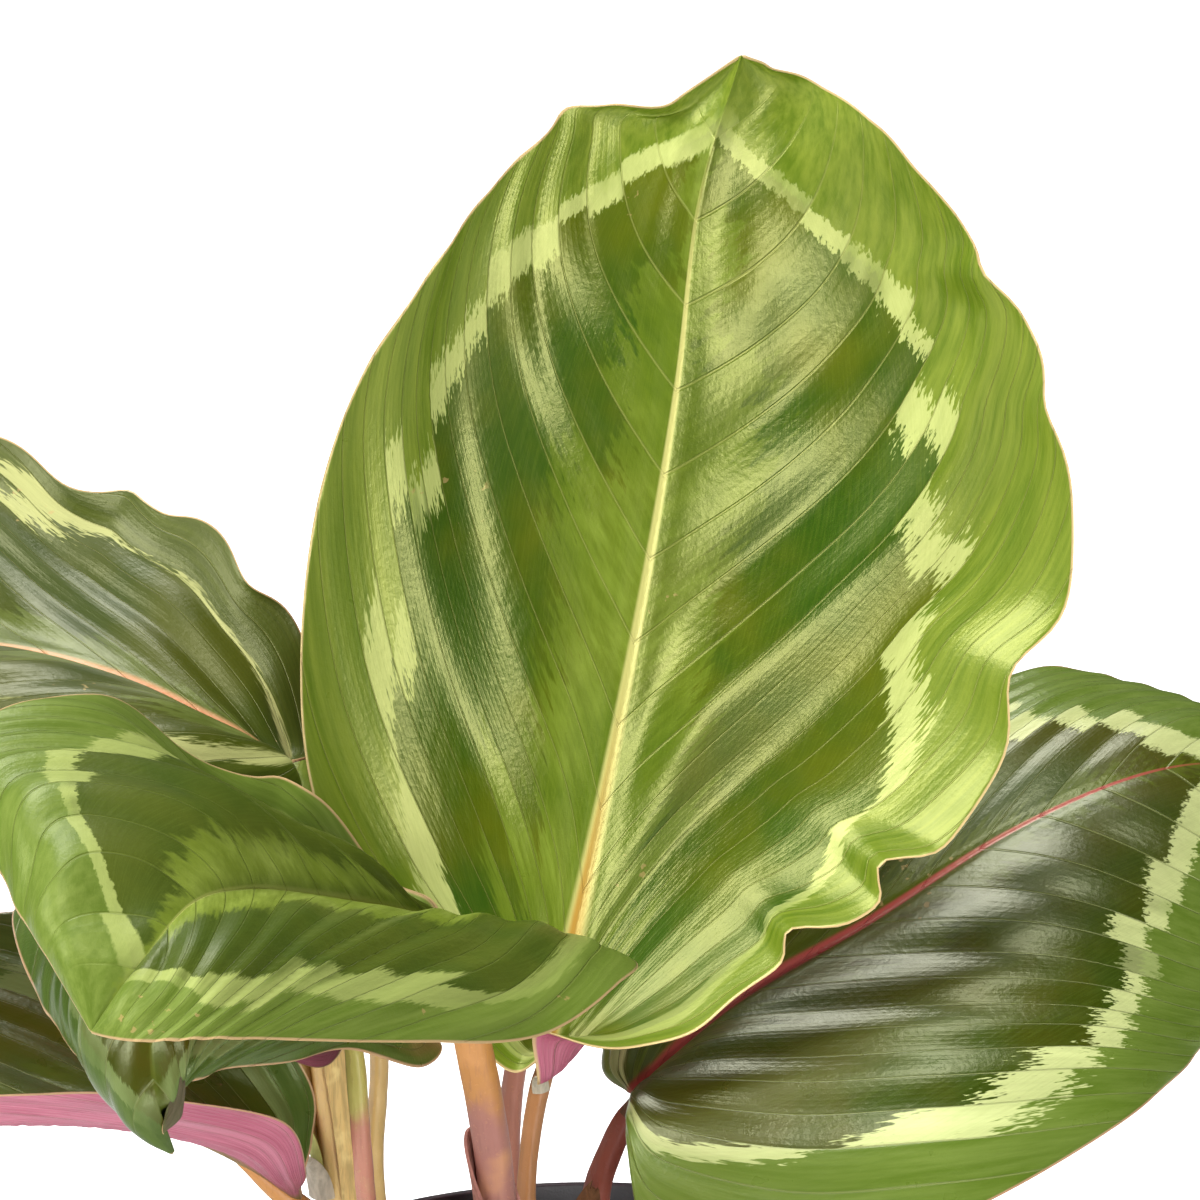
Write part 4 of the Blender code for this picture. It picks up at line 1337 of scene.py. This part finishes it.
def papery_material(name, tone, streaks=1100.0):
    """Dry papery tissue with fibres along it, paler at places."""
    look, graph, shader = new_material(name, specular=0.3)
    place = graph.place()
    fibre = graph.noise(graph.drawn_out(place, 0.08), streaks, 3.0, 0.65)
    cloud = graph.noise(place, 260.0, 3.0)
    color = graph.blend(graph.rise(fibre, 0.35, 0.65), tinted(tone, 0.7), tone)
    color = graph.blend(graph.times(graph.rise(cloud, 0.5, 0.72), 0.7), color, tinted(tone, 1.3, 0.05))
    feed_look(graph, shader, color, graph.span(cloud, 0.5, 0.8), fibre, 0.00025)
    return look


def sheath_piece(name, sizes, form, wall):
    """A slit tube round a stalk, whose open top edge slants down to the slit."""
    line = Line(sizes["stalk"])
    half_gap = form["gap"] / 2
    turns = np.radians(form["opens"] + np.linspace(half_gap, 360 - half_gap, SHEATH_TURNS))
    rows = []
    for climb in np.linspace(0, 1, SHEATH_RINGS):
        ring = []
        for turn in turns:
            near_slit = (1 + math.cos(turn - math.radians(form["opens"]))) / 2
            share = form["first"] + climb * (form["last"] - form["slant"] * near_slit - form["first"])
            forward = line.tangent(share, 0.03)
            sideways = unit(np.array([1.0, 0.0, 0.0]) - forward * forward[0])
            other = np.cross(forward, sideways)
            radius = float(through(sizes["radius"], share)) + SHEATH_GAP + form["flare"] * climb**6
            radius += SLIT_CURL * near_slit**8 * climb
            ring.append(line.at(share) + (sideways * math.cos(turn) + other * math.sin(turn)) * radius)
        rows.append(ring)
    look = papery_material(f"{name}_sheath", tinted(STALK_TONES[form["tone"]], 1.05), 1500.0)
    return thick_sheet(f"sheath_{name}", np.array(rows), wall, look)


def scrap_piece(number, form):
    """A narrow strip that tapers and curls over, frayed at its end."""
    rng = np.random.default_rng(number)
    start = unit(np.array(form["to"], float))
    facing = math.radians(form["facing"])
    outward = np.array([math.cos(facing), math.sin(facing), 0.0])
    outward = unit(outward - start * (outward @ start))
    across = np.cross(start, outward)
    rows = []
    point = np.array(form["at"], float)
    fray = rng.normal(0, SCRAP_FRAY, SCRAP_POINTS)
    for share in np.arange(SCRAP_STEPS + 1) / SCRAP_STEPS:
        bend = math.radians(form["curl"]) * share
        forward = start * math.cos(bend) + outward * math.sin(bend)
        lift = outward * math.cos(bend) - start * math.sin(bend)
        half = form["width"] / 2 * (1 - share**2.5 * SCRAP_NARROWING)
        row = []
        for side, tear in zip(np.linspace(-1, 1, SCRAP_POINTS), fray):
            end = forward * tear * form["width"] * share**3
            row.append(point + across * side * half - lift * half * SCRAP_HOLLOW * side**2 + end)
        rows.append(row)
        point = point + forward * form["length"] / SCRAP_STEPS
    look = papery_material(f"scrap_{number}_dry", form["tone"])
    return thick_sheet(f"scrap_{number}", np.array(rows), SCRAP_THICKNESS, look)


def arc(middle, radius, first, last, steps):
    """Points (radius, height) on an arc, from one angle to another in degrees."""
    turns = np.radians(np.linspace(first, last, steps))
    return [(middle[0] + radius * math.cos(a), middle[1] + radius * math.sin(a)) for a in turns]


def turned_piece(name, profile, sides, look, smooth_angle):
    """A solid turned about Z from (radius, height) points that start and end on the axis."""
    turn = np.linspace(0, 2 * np.pi, sides, endpoint=False)
    points = [(0, 0, profile[0][1])]
    for radius, height in profile[1:-1]:
        points += [(radius * math.cos(a), radius * math.sin(a), height) for a in turn]
    points.append((0, 0, profile[-1][1]))
    last = len(points) - 1
    faces = []
    for j in range(sides):
        after = (j + 1) % sides
        faces.append((0, 1 + after, 1 + j))
        for k in range(len(profile) - 3):
            a, b = 1 + k * sides + j, 1 + k * sides + after
            faces.append((a, b, b + sides, a + sides))
        ring = 1 + (len(profile) - 3) * sides
        faces.append((ring + j, ring + after, last))
    return add_mesh(name, points, faces, [look], smooth_angle=smooth_angle)


def wall_radius(height):
    """Outer radius of the pot's straight wall at a height."""
    top = POT_RIM_RADIUS - RIM_STEP
    return POT_FOOT_RADIUS + (top - POT_FOOT_RADIUS) * height / (POT_HEIGHT - RIM_BAND)


def plastic_material(color):
    """Moulded dark plastic: fine grain, dusty upper edge, faint scuffs round the wall."""
    look, graph, shader = new_material("pot_plastic_finished")
    place = graph.place()
    height = graph.parts(place)[2]
    grain = graph.noise(place, 2600.0, 2.0)
    cloud = graph.noise(place, 60.0, 4.0, 0.6)
    scuff = graph.rise(graph.noise(graph.drawn_out(place, 9.0), 150.0, 4.0, 0.65), 0.60, 0.74)
    dusty = tinted(color, 0.5, 0.09)
    shade = graph.blend(graph.times(cloud, 0.6), tuple(color), tinted(color, 1.6, 0.02))
    shade = graph.blend(graph.times(scuff, 0.35), shade, dusty)
    top = graph.rise(height, (POT_HEIGHT - 2.5) * MM, POT_HEIGHT * MM)
    dust = graph.times(top, graph.rise(cloud, 0.35, 0.65), 0.55)
    foot = graph.times(graph.fall(height, 0.0, 9.0 * MM), graph.rise(cloud, 0.4, 0.7), 0.5)
    shade = graph.blend(graph.plus(dust, foot), shade, dusty)
    rough = graph.plus(graph.span(cloud, 0.38, 0.52), graph.times(scuff, 0.15))
    feed_look(graph, shader, shade, rough, graph.plus(grain, graph.times(scuff, -0.5)), 0.00006)
    return look


def pot_piece(settings):
    """A thin pot with a rounded rim, a stepped and ribbed band, and drainage holes."""
    wall, bead = to_mm(settings.wall), to_mm(settings.rim_round)
    band = POT_HEIGHT - RIM_BAND
    outer = POT_RIM_RADIUS + RIM_LIP
    inner = POT_RIM_RADIUS - wall
    foot = POT_FOOT_RADIUS + 0.2
    hollow_edge, ring_inside, ring_outside = (foot - inset for inset in FOOT_RING)
    profile = [(0, FOOT_HOLLOW), (hollow_edge, FOOT_HOLLOW), (ring_inside, 0.0), (ring_outside, 0.0)]
    profile += arc((foot - FOOT_ROUND, FOOT_ROUND), FOOT_ROUND, -80, -8, 5)
    profile += [(wall_radius(height), height) for height in np.linspace(WALL_FOOT, band - 0.4, 18)]
    profile += arc((POT_RIM_RADIUS - BAND_ROUND, band + BAND_ROUND), BAND_ROUND, -90, 0, 5)
    profile += [(POT_RIM_RADIUS + outwards, band + upwards) for outwards, upwards in BAND_RIB]
    profile += [(outer - 0.2, POT_HEIGHT - 2.0)]
    profile += arc((outer - bead, POT_HEIGHT - bead), bead, 0, 90, 6)
    profile += arc((inner + bead * 0.6, POT_HEIGHT - bead * 0.6), bead * 0.6, 90, 180, 5)
    profile += [(inner - 0.2, POT_HEIGHT - 3.0), (inner - 0.4, band + 0.8), (wall_radius(band) - wall, band)]
    heights = np.linspace(band - 4.0, WALL_FOOT, 14)
    profile += [(wall_radius(height) - wall, height) for height in heights]
    profile += [(wall_radius(POT_FLOOR) - wall - 1.0, POT_FLOOR), (0, POT_FLOOR)]
    look = plastic_material(settings.color)
    pot = turned_piece("pot_finished", profile, settings.sides, look, POT_SHARP_ANGLE)
    cutters = []
    for k in range(DRAIN_COUNT):
        angle = 2 * math.pi * (k + 0.5) / DRAIN_COUNT
        bpy.ops.mesh.primitive_cylinder_add(vertices=32, radius=DRAIN_RADIUS * MM, depth=6 * POT_FLOOR * MM)
        cutter = bpy.context.object
        cutter.location = (math.cos(angle) * DRAIN_RING * MM, math.sin(angle) * DRAIN_RING * MM, 0.0)
        step = pot.modifiers.new(f"Drain {k + 1}", "BOOLEAN")
        step.operation = "DIFFERENCE"
        step.solver = "EXACT"
        step.object = cutter
        cutters.append(cutter)
    pot = as_plain_mesh(pot)
    for cutter in cutters:
        bpy.data.objects.remove(cutter)
    pot.data.set_sharp_from_angle(angle=math.radians(POT_SHARP_ANGLE))
    return pot


def earth_material(name, color, pale, scale, depth):
    """Potting mix or bark: lumps of a scale, painted darker in the hollows between them as shade, with paler
    specks, in a relief of a depth.
    """
    look, graph, shader = new_material(name, specular=0.3)
    place = graph.place()
    lumps = graph.noise(place, scale, 5.0, 0.7)
    fine = graph.noise(place, scale * 4, 3.0, 0.6)
    cloud = graph.noise(place, 70.0, 3.0)
    # Darker where the relief is low: painted shade in the hollows between the lumps
    shade = graph.blend(graph.rise(lumps, 0.35, 0.6), tinted(color, 0.4), tuple(color))
    shade = graph.blend(graph.times(graph.rise(fine, 0.55, 0.75), 0.7), shade, pale)
    shade = graph.blend(graph.times(graph.rise(cloud, 0.5, 0.7), 0.35), shade, pale)
    relief = graph.plus(lumps, graph.times(fine, 0.3))
    feed_look(graph, shader, shade, graph.span(cloud, 0.8, 1.0), relief, depth)
    return look


def grain_material():
    """White perlite, pitted and a little stained, with painted shade in its pits."""
    look, graph, shader = new_material("perlite", specular=0.3)
    place = graph.place()
    pits = graph.noise(place, 2200.0, 3.0, 0.7)
    stain = graph.noise(place, 300.0, 2.0)
    # Grey where the relief is low: painted shade in the pits
    color = graph.blend(graph.rise(pits, 0.3, 0.6), PERLITE_PIT_SHADE, PERLITE_WHITE)
    color = graph.blend(graph.times(graph.rise(stain, 0.5, 0.7), 0.5), color, PERLITE_STAIN)
    feed_look(graph, shader, color, graph.span(stain, 0.75, 0.95), pits, 0.0003)
    return look


def soil_piece(settings):
    """Soil that fills the pot, heaped a little and uneven on top."""
    rng = np.random.default_rng(4)
    bottom = POT_FLOOR + SOIL_PLAY_UNDER
    inset = POT_WALL + SOIL_PLAY_BESIDE
    edge = wall_radius(SOIL_TOP) - inset
    heights = np.linspace(bottom + 1.5, SOIL_TOP - 2.0, 12)
    profile = [(0, bottom), (wall_radius(bottom) - 3.0, bottom)]
    profile += [(wall_radius(height) - inset, height) for height in heights]
    shares = np.linspace(1.0, 0.02, SOIL_TOP_RINGS)
    profile += [(edge * share, SOIL_TOP - SOIL_EDGE_DROP) for share in shares]
    profile += [(0, SOIL_TOP)]
    look = earth_material("soil_moist", settings.color, SOIL_PALE, 420.0, 0.0009)
    soil = turned_piece("soil_finished", profile, SOIL_SIDES, look, 180.0)
    points = np.empty(len(soil.data.vertices) * 3, np.float32)
    soil.data.vertices.foreach_get("co", points)
    points = points.reshape(-1, 3)
    flat = points / MM
    reach = np.hypot(flat[:, 0], flat[:, 1])
    on_top = flat[:, 2] > SOIL_TOP - 1.5
    rise = SOIL_DOME * (1 - (reach / edge) ** 2) + 0.2
    for _ in range(SOIL_LUMPS):
        middle = rng.uniform(-edge, edge, 2)
        size = rng.uniform(*LUMP_REACH)
        height = rng.normal(0, LUMP_STEEPNESS) * size
        distance = np.hypot(flat[:, 0] - middle[0], flat[:, 1] - middle[1])
        rise = rise + height * np.exp(-((distance / size) ** 2))
    flat[:, 2] += np.where(on_top, np.clip(rise, *TOP_RISE), 0.0)
    soil.data.vertices.foreach_set("co", (flat * MM).astype(np.float32).ravel())
    soil.data.update()
    return soil


def scatter_tree():
    """Geometry nodes that strew uneven grains on the part of a surface above a height."""
    tree, graph, given = new_geometry_group("scatter", {
        "Density": "Float", "Size": "Float", "Lowest": "Float", "Flatness": "Float", "Seed": "Int",
        "Material": "Material",
    })
    spot = graph.add("GeometryNodeInputPosition").outputs["Position"]
    seed = given["Seed"]
    spread = graph.add("GeometryNodeDistributePointsOnFaces", {
        "Mesh": given["Geometry"],
        "Selection": graph.math("GREATER_THAN", graph.parts(spot)[2], given["Lowest"]),
        "Density": given["Density"],
        "Seed": seed,
    })
    grain = graph.add("GeometryNodeMeshIcoSphere", {"Radius": given["Size"], "Subdivisions": 2})
    turn = graph.add(
        "FunctionNodeRandomValue", {"Seed": seed, "Max": GRAIN_TURN}, data_type="FLOAT_VECTOR"
    )
    size = graph.add(
        "FunctionNodeRandomValue", {"Seed": seed, "Min": GRAIN_LEAST}, data_type="FLOAT_VECTOR"
    )
    scale = graph.add(
        "ShaderNodeVectorMath", {"Vector": size.outputs["Value"]}, operation="MULTIPLY"
    )
    graph.feed(scale.inputs[1], graph.vector(1.0, 0.75, given["Flatness"]))
    placed = graph.add("GeometryNodeInstanceOnPoints", {
        "Points": spread.outputs["Points"],
        "Instance": grain.outputs["Mesh"],
        "Rotation": turn.outputs["Value"],
        "Scale": scale.outputs["Vector"],
    })
    real = graph.add("GeometryNodeRealizeInstances", {"Geometry": placed.outputs["Instances"]})
    rough = graph.add("ShaderNodeTexNoise", {"Vector": spot, "Scale": 900.0, "Detail": 2.0})
    push = graph.add("ShaderNodeVectorMath", {"Vector": rough.outputs["Color"]}, operation="SUBTRACT")
    push.inputs[1].default_value = (0.5, 0.5, 0.5)
    distance = graph.times(given["Size"], 1.3)
    uneven = push_points(graph, real.outputs["Geometry"], push.outputs["Vector"], distance)
    give_painted(graph, uneven, given["Material"])
    return tree


def grains_piece(name, soil, tree, values):
    """The grains that the scatter tree strews on the soil, as one mesh."""
    piece = bpy.data.objects.new(name, soil.data.copy())
    bpy.context.scene.collection.objects.link(piece)
    step = piece.modifiers.new("Scatter", "NODES")
    step.node_group = tree
    set_inputs(step, values)
    return as_plain_mesh(piece)


class CALATHEA_OT_pot(bpy.types.Operator):
    """Adds the nursery pot"""

    bl_idname = "calathea.pot"
    bl_label = "Pot"

    def execute(self, context):
        finish_piece(pot_piece(context.scene.calathea_pot), ["pot"])
        return {"FINISHED"}


class CALATHEA_OT_soil(bpy.types.Operator):
    """Adds the potting mix with its crumbs and white grains"""

    bl_idname = "calathea.soil"
    bl_label = "Soil"

    def execute(self, context):
        settings = context.scene.calathea_soil
        soil = soil_piece(settings)
        tree = scatter_tree()
        area = math.pi * (wall_radius(SOIL_TOP) * MM) ** 2
        bark = earth_material("bark_crumbs", BARK, BARK_PALE, 900.0, 0.0004)
        # Each kind of grain: its name, count, size, flatness, seed and look
        kinds = (
            ("soil_crumbs", settings.crumbs, settings.crumb_size, 0.5, 3, bark),
            ("soil_perlite", settings.perlite, settings.perlite_size, 0.9, 8, grain_material()),
        )
        strewn = []
        for name, count, size, flatness, seed, look in kinds:
            strewn.append(grains_piece(name, soil, tree, {
                "Density": count / area,
                "Size": size,
                "Lowest": (SOIL_TOP - GRAIN_DROP) * MM,
                "Flatness": flatness,
                "Seed": seed,
                "Material": look,
            }))
        finish_piece(soil, ["soil"])
        for grains in strewn:
            finish_piece(grains)
        return {"FINISHED"}


class CALATHEA_OT_leaves(bpy.types.Operator):
    """Adds the patterned leaf blades"""

    bl_idname = "calathea.leaves"
    bl_label = "Leaves"

    def execute(self, context):
        settings = context.scene.calathea_leaf
        group = leaf_pattern()
        for number, (name, sizes) in enumerate(LEAVES.items()):
            # Each leaf and each of its halves draws by chance from a seed of its own
            seed = 10 * number + 3
            looks = [
                material(name, sizes, group, seed, settings.ring_width)
                for material in (upper_material, under_material)
            ]
            piece = blade_piece(name, sizes, settings, looks, seed)
            finish_piece(piece, [f"blade_{name}"])
        return {"FINISHED"}


class CALATHEA_OT_stalks(bpy.types.Operator):
    """Adds the stalks that carry the leaves"""

    bl_idname = "calathea.stalks"
    bl_label = "Stalks"

    def execute(self, context):
        tree = stalk_tree()
        for name, sizes in LEAVES.items():
            piece = stalk_piece(name, sizes, context.scene.calathea_stalk, tree)
            finish_piece(piece, [f"stalk_{name}"])
        return {"FINISHED"}


class CALATHEA_OT_sheaths(bpy.types.Operator):
    """Adds the sheaths round the stalks' lower parts and the dry scraps beside them"""

    bl_idname = "calathea.sheaths"
    bl_label = "Sheaths and Scraps"

    def execute(self, context):
        wall = to_mm(context.scene.calathea_stalk.sheath)
        for name, form in SHEATHS.items():
            finish_piece(sheath_piece(name, LEAVES[name], form, wall))
        for number, form in enumerate(SCRAPS, start=1):
            finish_piece(scrap_piece(number, form))
        return {"FINISHED"}


def floor_material(glow):
    """White floor that glows to the eye only, so that glossy leaves don't mirror its glow."""
    look, graph, shader = new_material("floor_white", roughness=0.9, specular=0.2)
    shader["Base Color"].default_value = FLOOR_GREY
    shader["Emission Color"].default_value = WHITE
    seen = graph.add("ShaderNodeLightPath").outputs["Is Camera Ray"]
    graph.feed(shader["Emission Strength"], graph.times(seen, glow))
    return look


def even_light(strength):
    """A white world that lights the plant evenly."""
    world = bpy.data.worlds.new("soft studio")
    world.use_nodes = True
    background = world.node_tree.nodes["Background"].inputs
    background["Color"].default_value = WHITE
    background["Strength"].default_value = strength
    return world


def area_light(name, place, width, power):
    light = bpy.data.lights.new(name, "AREA")
    light.energy = power
    light.size = width
    lamp = bpy.data.objects.new(name, light)
    lamp.location = place
    lamp.rotation_euler = (Vector(CAMERA_TARGET) - Vector(place)).to_track_quat("-Z", "Y").to_euler()
    bpy.context.scene.collection.objects.link(lamp)


def camera_object(lens, distance):
    """The camera, at the photograph's viewing angle and so far from its target."""
    tilt = math.radians(CAMERA_ELEVATION)
    back = Vector((0.0, -math.cos(tilt), math.sin(tilt)))
    camera = bpy.data.objects.new("camera", bpy.data.cameras.new("camera"))
    camera.data.lens = lens
    camera.data.sensor_width = CAMERA_SENSOR
    camera.data.clip_end = CAMERA_SIGHT
    camera.location = Vector(CAMERA_TARGET) + back * distance
    camera.rotation_euler = (-back).to_track_quat("-Z", "Y").to_euler()
    bpy.context.scene.collection.objects.link(camera)
    return camera


class CALATHEA_OT_stage(bpy.types.Operator):
    """Adds the pale floor, the soft lights and the camera"""

    bl_idname = "calathea.stage"
    bl_label = "Stage"

    def execute(self, context):
        settings = context.scene.calathea_stage
        scene = context.scene
        bpy.ops.mesh.primitive_plane_add(size=settings.floor)
        floor = context.object
        floor.name = "floor"
        floor.data.materials.append(floor_material(settings.glow))
        scene.world = even_light(settings.ambient)
        for name, (place, width) in LIGHTS.items():
            area_light(name, place, width, getattr(settings, name))
        scene.camera = camera_object(settings.lens, settings.distance)
        scene.view_settings.view_transform = "Standard"
        return {"FINISHED"}


OPERATORS = (
    CALATHEA_OT_stage,
    CALATHEA_OT_pot,
    CALATHEA_OT_soil,
    CALATHEA_OT_leaves,
    CALATHEA_OT_stalks,
    CALATHEA_OT_sheaths,
)


class CALATHEA_PT_parts(bpy.types.Panel):
    """Lists the parts of the plant with their sizes."""

    bl_label = "Potted Calathea"
    bl_idname = "CALATHEA_PT_parts"
    bl_space_type = "VIEW_3D"
    bl_region_type = "UI"
    bl_category = "Calathea"

    def draw(self, context):
        for operator in OPERATORS:
            self.layout.operator(operator.bl_idname)
        for name, kind in SETTINGS.items():
            box = self.layout.box()
            for key in kind.__annotations__:
                box.prop(getattr(context.scene, name), key)


def register():
    for kind in (*SETTINGS.values(), *OPERATORS, CALATHEA_PT_parts):
        bpy.utils.register_class(kind)
    for name, kind in SETTINGS.items():
        setattr(bpy.types.Scene, name, PointerProperty(type=kind))


def unregister():
    for name in SETTINGS:
        delattr(bpy.types.Scene, name)
    for kind in (CALATHEA_PT_parts, *reversed(OPERATORS), *reversed(SETTINGS.values())):
        bpy.utils.unregister_class(kind)


def main():
    register()
    for operator in OPERATORS:
        group, call = operator.bl_idname.split(".")
        getattr(getattr(bpy.ops, group), call)()


if __name__ == "__main__":
    main()
